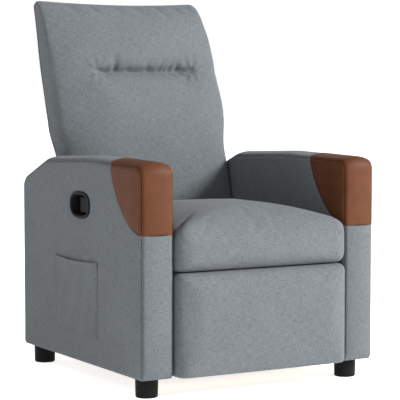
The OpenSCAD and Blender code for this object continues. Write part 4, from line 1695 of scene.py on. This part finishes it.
    def groove(self, form: Form) -> None:
        """Sinks a piece's edge into the rear seam.

        Args:
            form: the piece.
        """
        co, no = self.local(form)
        outside = smoothstep(0.5, 0.8, np.hypot(no[:, 0], np.maximum(no[:, 2], 0)))
        form.displace(-0.0022 * outside * bell(co[:, 1] - self.seam, 0.0035))

    def build(self) -> None:
        """Builds the pillow and the panel behind it."""
        pillow = self.whole()
        block = self.cutter()
        panel = pillow.duplicate("back_panel_cloth").boolean(block, "INTERSECT")
        pillow.boolean(block, "DIFFERENCE")
        block.remove()
        self.groove(pillow)
        self.groove(panel)
        co, no = self.local(panel)
        x, z = np.abs(co[:, 0]), co[:, 2]
        swell = smoothstep(0.24, 0.12, x) * smoothstep(0.0, 0.12, z) * smoothstep(0.64, 0.52, z)
        panel.displace(0.006 * smoothstep(0.3, 0.9, no[:, 1]) * swell)
        back = self.layout.back
        pillow.weave(back).finish(self.palette.get(Slot.CUSHION), Slot.CUSHION, "backrest")
        panel.weave(back).finish(self.palette.get(Slot.BODY), Slot.BODY, "backrest")
        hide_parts("back_cushion", "back_border")
        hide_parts("back_panel")


@dataclass
class RearPanel:
    """The padded panel that closes the base behind.

    Args:
        palette: materials.
        voxel: size of its faces.
        puff: how far its padding stands out.
    """

    palette: Palette
    voxel: float = 0.005
    puff: float = 0.003

    def build(self) -> None:
        """Builds the panel."""
        form = Form.copies("rear_panel_cloth", ["rear_panel"]).remesh(self.voxel).relax(3)
        co, no = form.points, form.normals
        low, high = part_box("rear_panel")
        rear = smoothstep(0.5, 0.95, no[:, 1]) * smoothstep(0.25, 0.20, np.abs(co[:, 0]))
        rear = self.puff * rear * smoothstep(low.z, low.z + 0.04, co[:, 2])
        form.displace(rear * smoothstep(high.z, high.z - 0.04, co[:, 2]))
        form.weave().finish(self.palette.get(Slot.BODY), Slot.BODY, "base")
        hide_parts("rear_panel")


@dataclass
class Hardware:
    """The CAD nodes that are shown as they are.

    Args:
        palette: materials.
    """

    palette: Palette

    def build(self) -> None:
        """Gives every node that is still shown its slot's material."""
        slots = {s["node"]: s.get("material_slot", s["node"]) for s in frame["record"]["subparts"]}
        for name, obj in sorted(frame["nodes"].items()):
            slot = Slot(slots[name])
            if slot in (Slot.BODY, Slot.CUSHION) and not obj.hide_render:
                LOG.warning("%s has no soft piece", name)
            obj.data.materials.clear()
            obj.data.materials.append(self.palette.get(slot))
            obj.data.shade_smooth()
            obj.data.set_sharp_from_angle(angle=math.radians(30))
            if not obj.hide_render:
                LOG.info("%s: CAD node, %s", name, slot.value)


# ---------------------------------------------------------------- stage


@dataclass
class Studio:
    """Floor, lights and camera.

    Args:
        layout: shared places.
        key: power of the key light, in watts.
        fill: power of the fill light, in watts.
        zenith: brightness of the studio's ceiling.
        glow: brightness of the floor by itself.
        lens: focal length, in millimetres on a 36 mm sensor.
        azimuth: the camera's bearing, in degrees.
        pitch: how far it looks down, in degrees.
    """

    layout: Layout
    key: float = 800.0
    fill: float = 45.0
    zenith: float = 0.50
    glow: float = 0.75
    lens: float = 148.5
    azimuth: float = -29.947
    pitch: float = 4.157

    KEY_PLACE = (3.9, -4.1, 3.3)
    FILL_PLACE = (-3.4, -1.6, 3.6)
    CAMERA_PLACE = (-2.1984, -3.5019, 0.7819)  # across, behind the arms' fronts and above the floor
    AIM = (0, 0, 0.5)  # what the lights face

    def light(self, name: str, place: Sequence[float], size: float, power: float) -> None:
        """Adds a soft light.

        Args:
            name: its name.
            place: where it stands.
            size: its width.
            power: in watts.
        """
        data = bpy.data.lights.new(name, "AREA")
        data.shape = "DISK"
        data.size = size
        data.energy = power
        obj = bpy.data.objects.new(name, data)
        bpy.context.scene.collection.objects.link(obj)
        obj.location = place
        obj.rotation_mode = "QUATERNION"
        obj.rotation_quaternion = (Vector(place) - Vector(self.AIM)).to_track_quat("Z", "Y")

    def floor(self) -> None:
        """Lays a pale floor under the chair."""
        bm = bmesh.new()
        bmesh.ops.create_grid(bm, x_segments=1, y_segments=1, size=30)
        floor = Form.from_bmesh("floor", bm)
        paper = Nodes("pale_floor")
        paper.value("Base Color", (0.9, 0.9, 0.9, 1))
        paper.value("Roughness", 0.9)
        paper.value("Emission Color", (1, 1, 1, 1))
        paper.value("Emission Strength", self.glow)
        floor.obj.data.materials.append(paper.material)

    def sky(self) -> None:
        """Surrounds the chair with white walls and a grey ceiling."""
        world = bpy.data.worlds.new("studio")
        world.use_nodes = True
        tree = world.node_tree
        ramp = tree.nodes.new("ShaderNodeValToRGB")
        ramp.color_ramp.elements[0].position = 0.06
        ramp.color_ramp.elements[0].color = (1, 1, 1, 1)
        ramp.color_ramp.elements[1].position = 0.55
        ramp.color_ramp.elements[1].color = (self.zenith, self.zenith, self.zenith, 1)
        height = tree.nodes.new("ShaderNodeSeparateXYZ")
        tree.links.new(tree.nodes.new("ShaderNodeTexCoord").outputs["Generated"], height.inputs[0])
        tree.links.new(height.outputs["Z"], ramp.inputs[0])
        tree.links.new(ramp.outputs[0], tree.nodes["Background"].inputs[0])
        bpy.context.scene.world = world

    def camera(self) -> None:
        """Places the camera."""
        camera = bpy.data.cameras.new("camera")
        camera.lens = self.lens
        camera.sensor_width = 36
        camera.clip_end = 100
        obj = bpy.data.objects.new("camera", camera)
        bpy.context.scene.collection.objects.link(obj)
        obj.location = self.layout.point(*self.CAMERA_PLACE)
        obj.rotation_euler = (math.radians(90 - self.pitch), 0, math.radians(self.azimuth))
        bpy.context.scene.camera = obj

    def build(self) -> None:
        """Builds the stage."""
        self.floor()
        self.sky()
        self.light("key", self.KEY_PLACE, 1.8, self.key)
        self.light("fill", self.FILL_PLACE, 2.4, self.fill)
        self.camera()
        bpy.context.scene.view_settings.view_transform = "Standard"


def write_sizes() -> None:
    bpy.context.view_layer.update()


def main() -> None:
    """Builds the chair and its stage."""
    logging.basicConfig(level=logging.INFO, format="%(name)s: %(message)s")
    layout, palette = Layout.from_frame(), Palette()
    for side in Side:
        Arm(side, layout, palette).build()
    ReleaseCup(layout, palette).build()
    Pocket(layout, palette).build()
    Seat(layout, palette).build()
    Footrest(palette).build()
    Back(layout, palette).build()
    RearPanel(palette).build()
    Hardware(palette).build()
    Studio(layout).build()
    write_sizes()


if __name__ == "__main__":
    main()
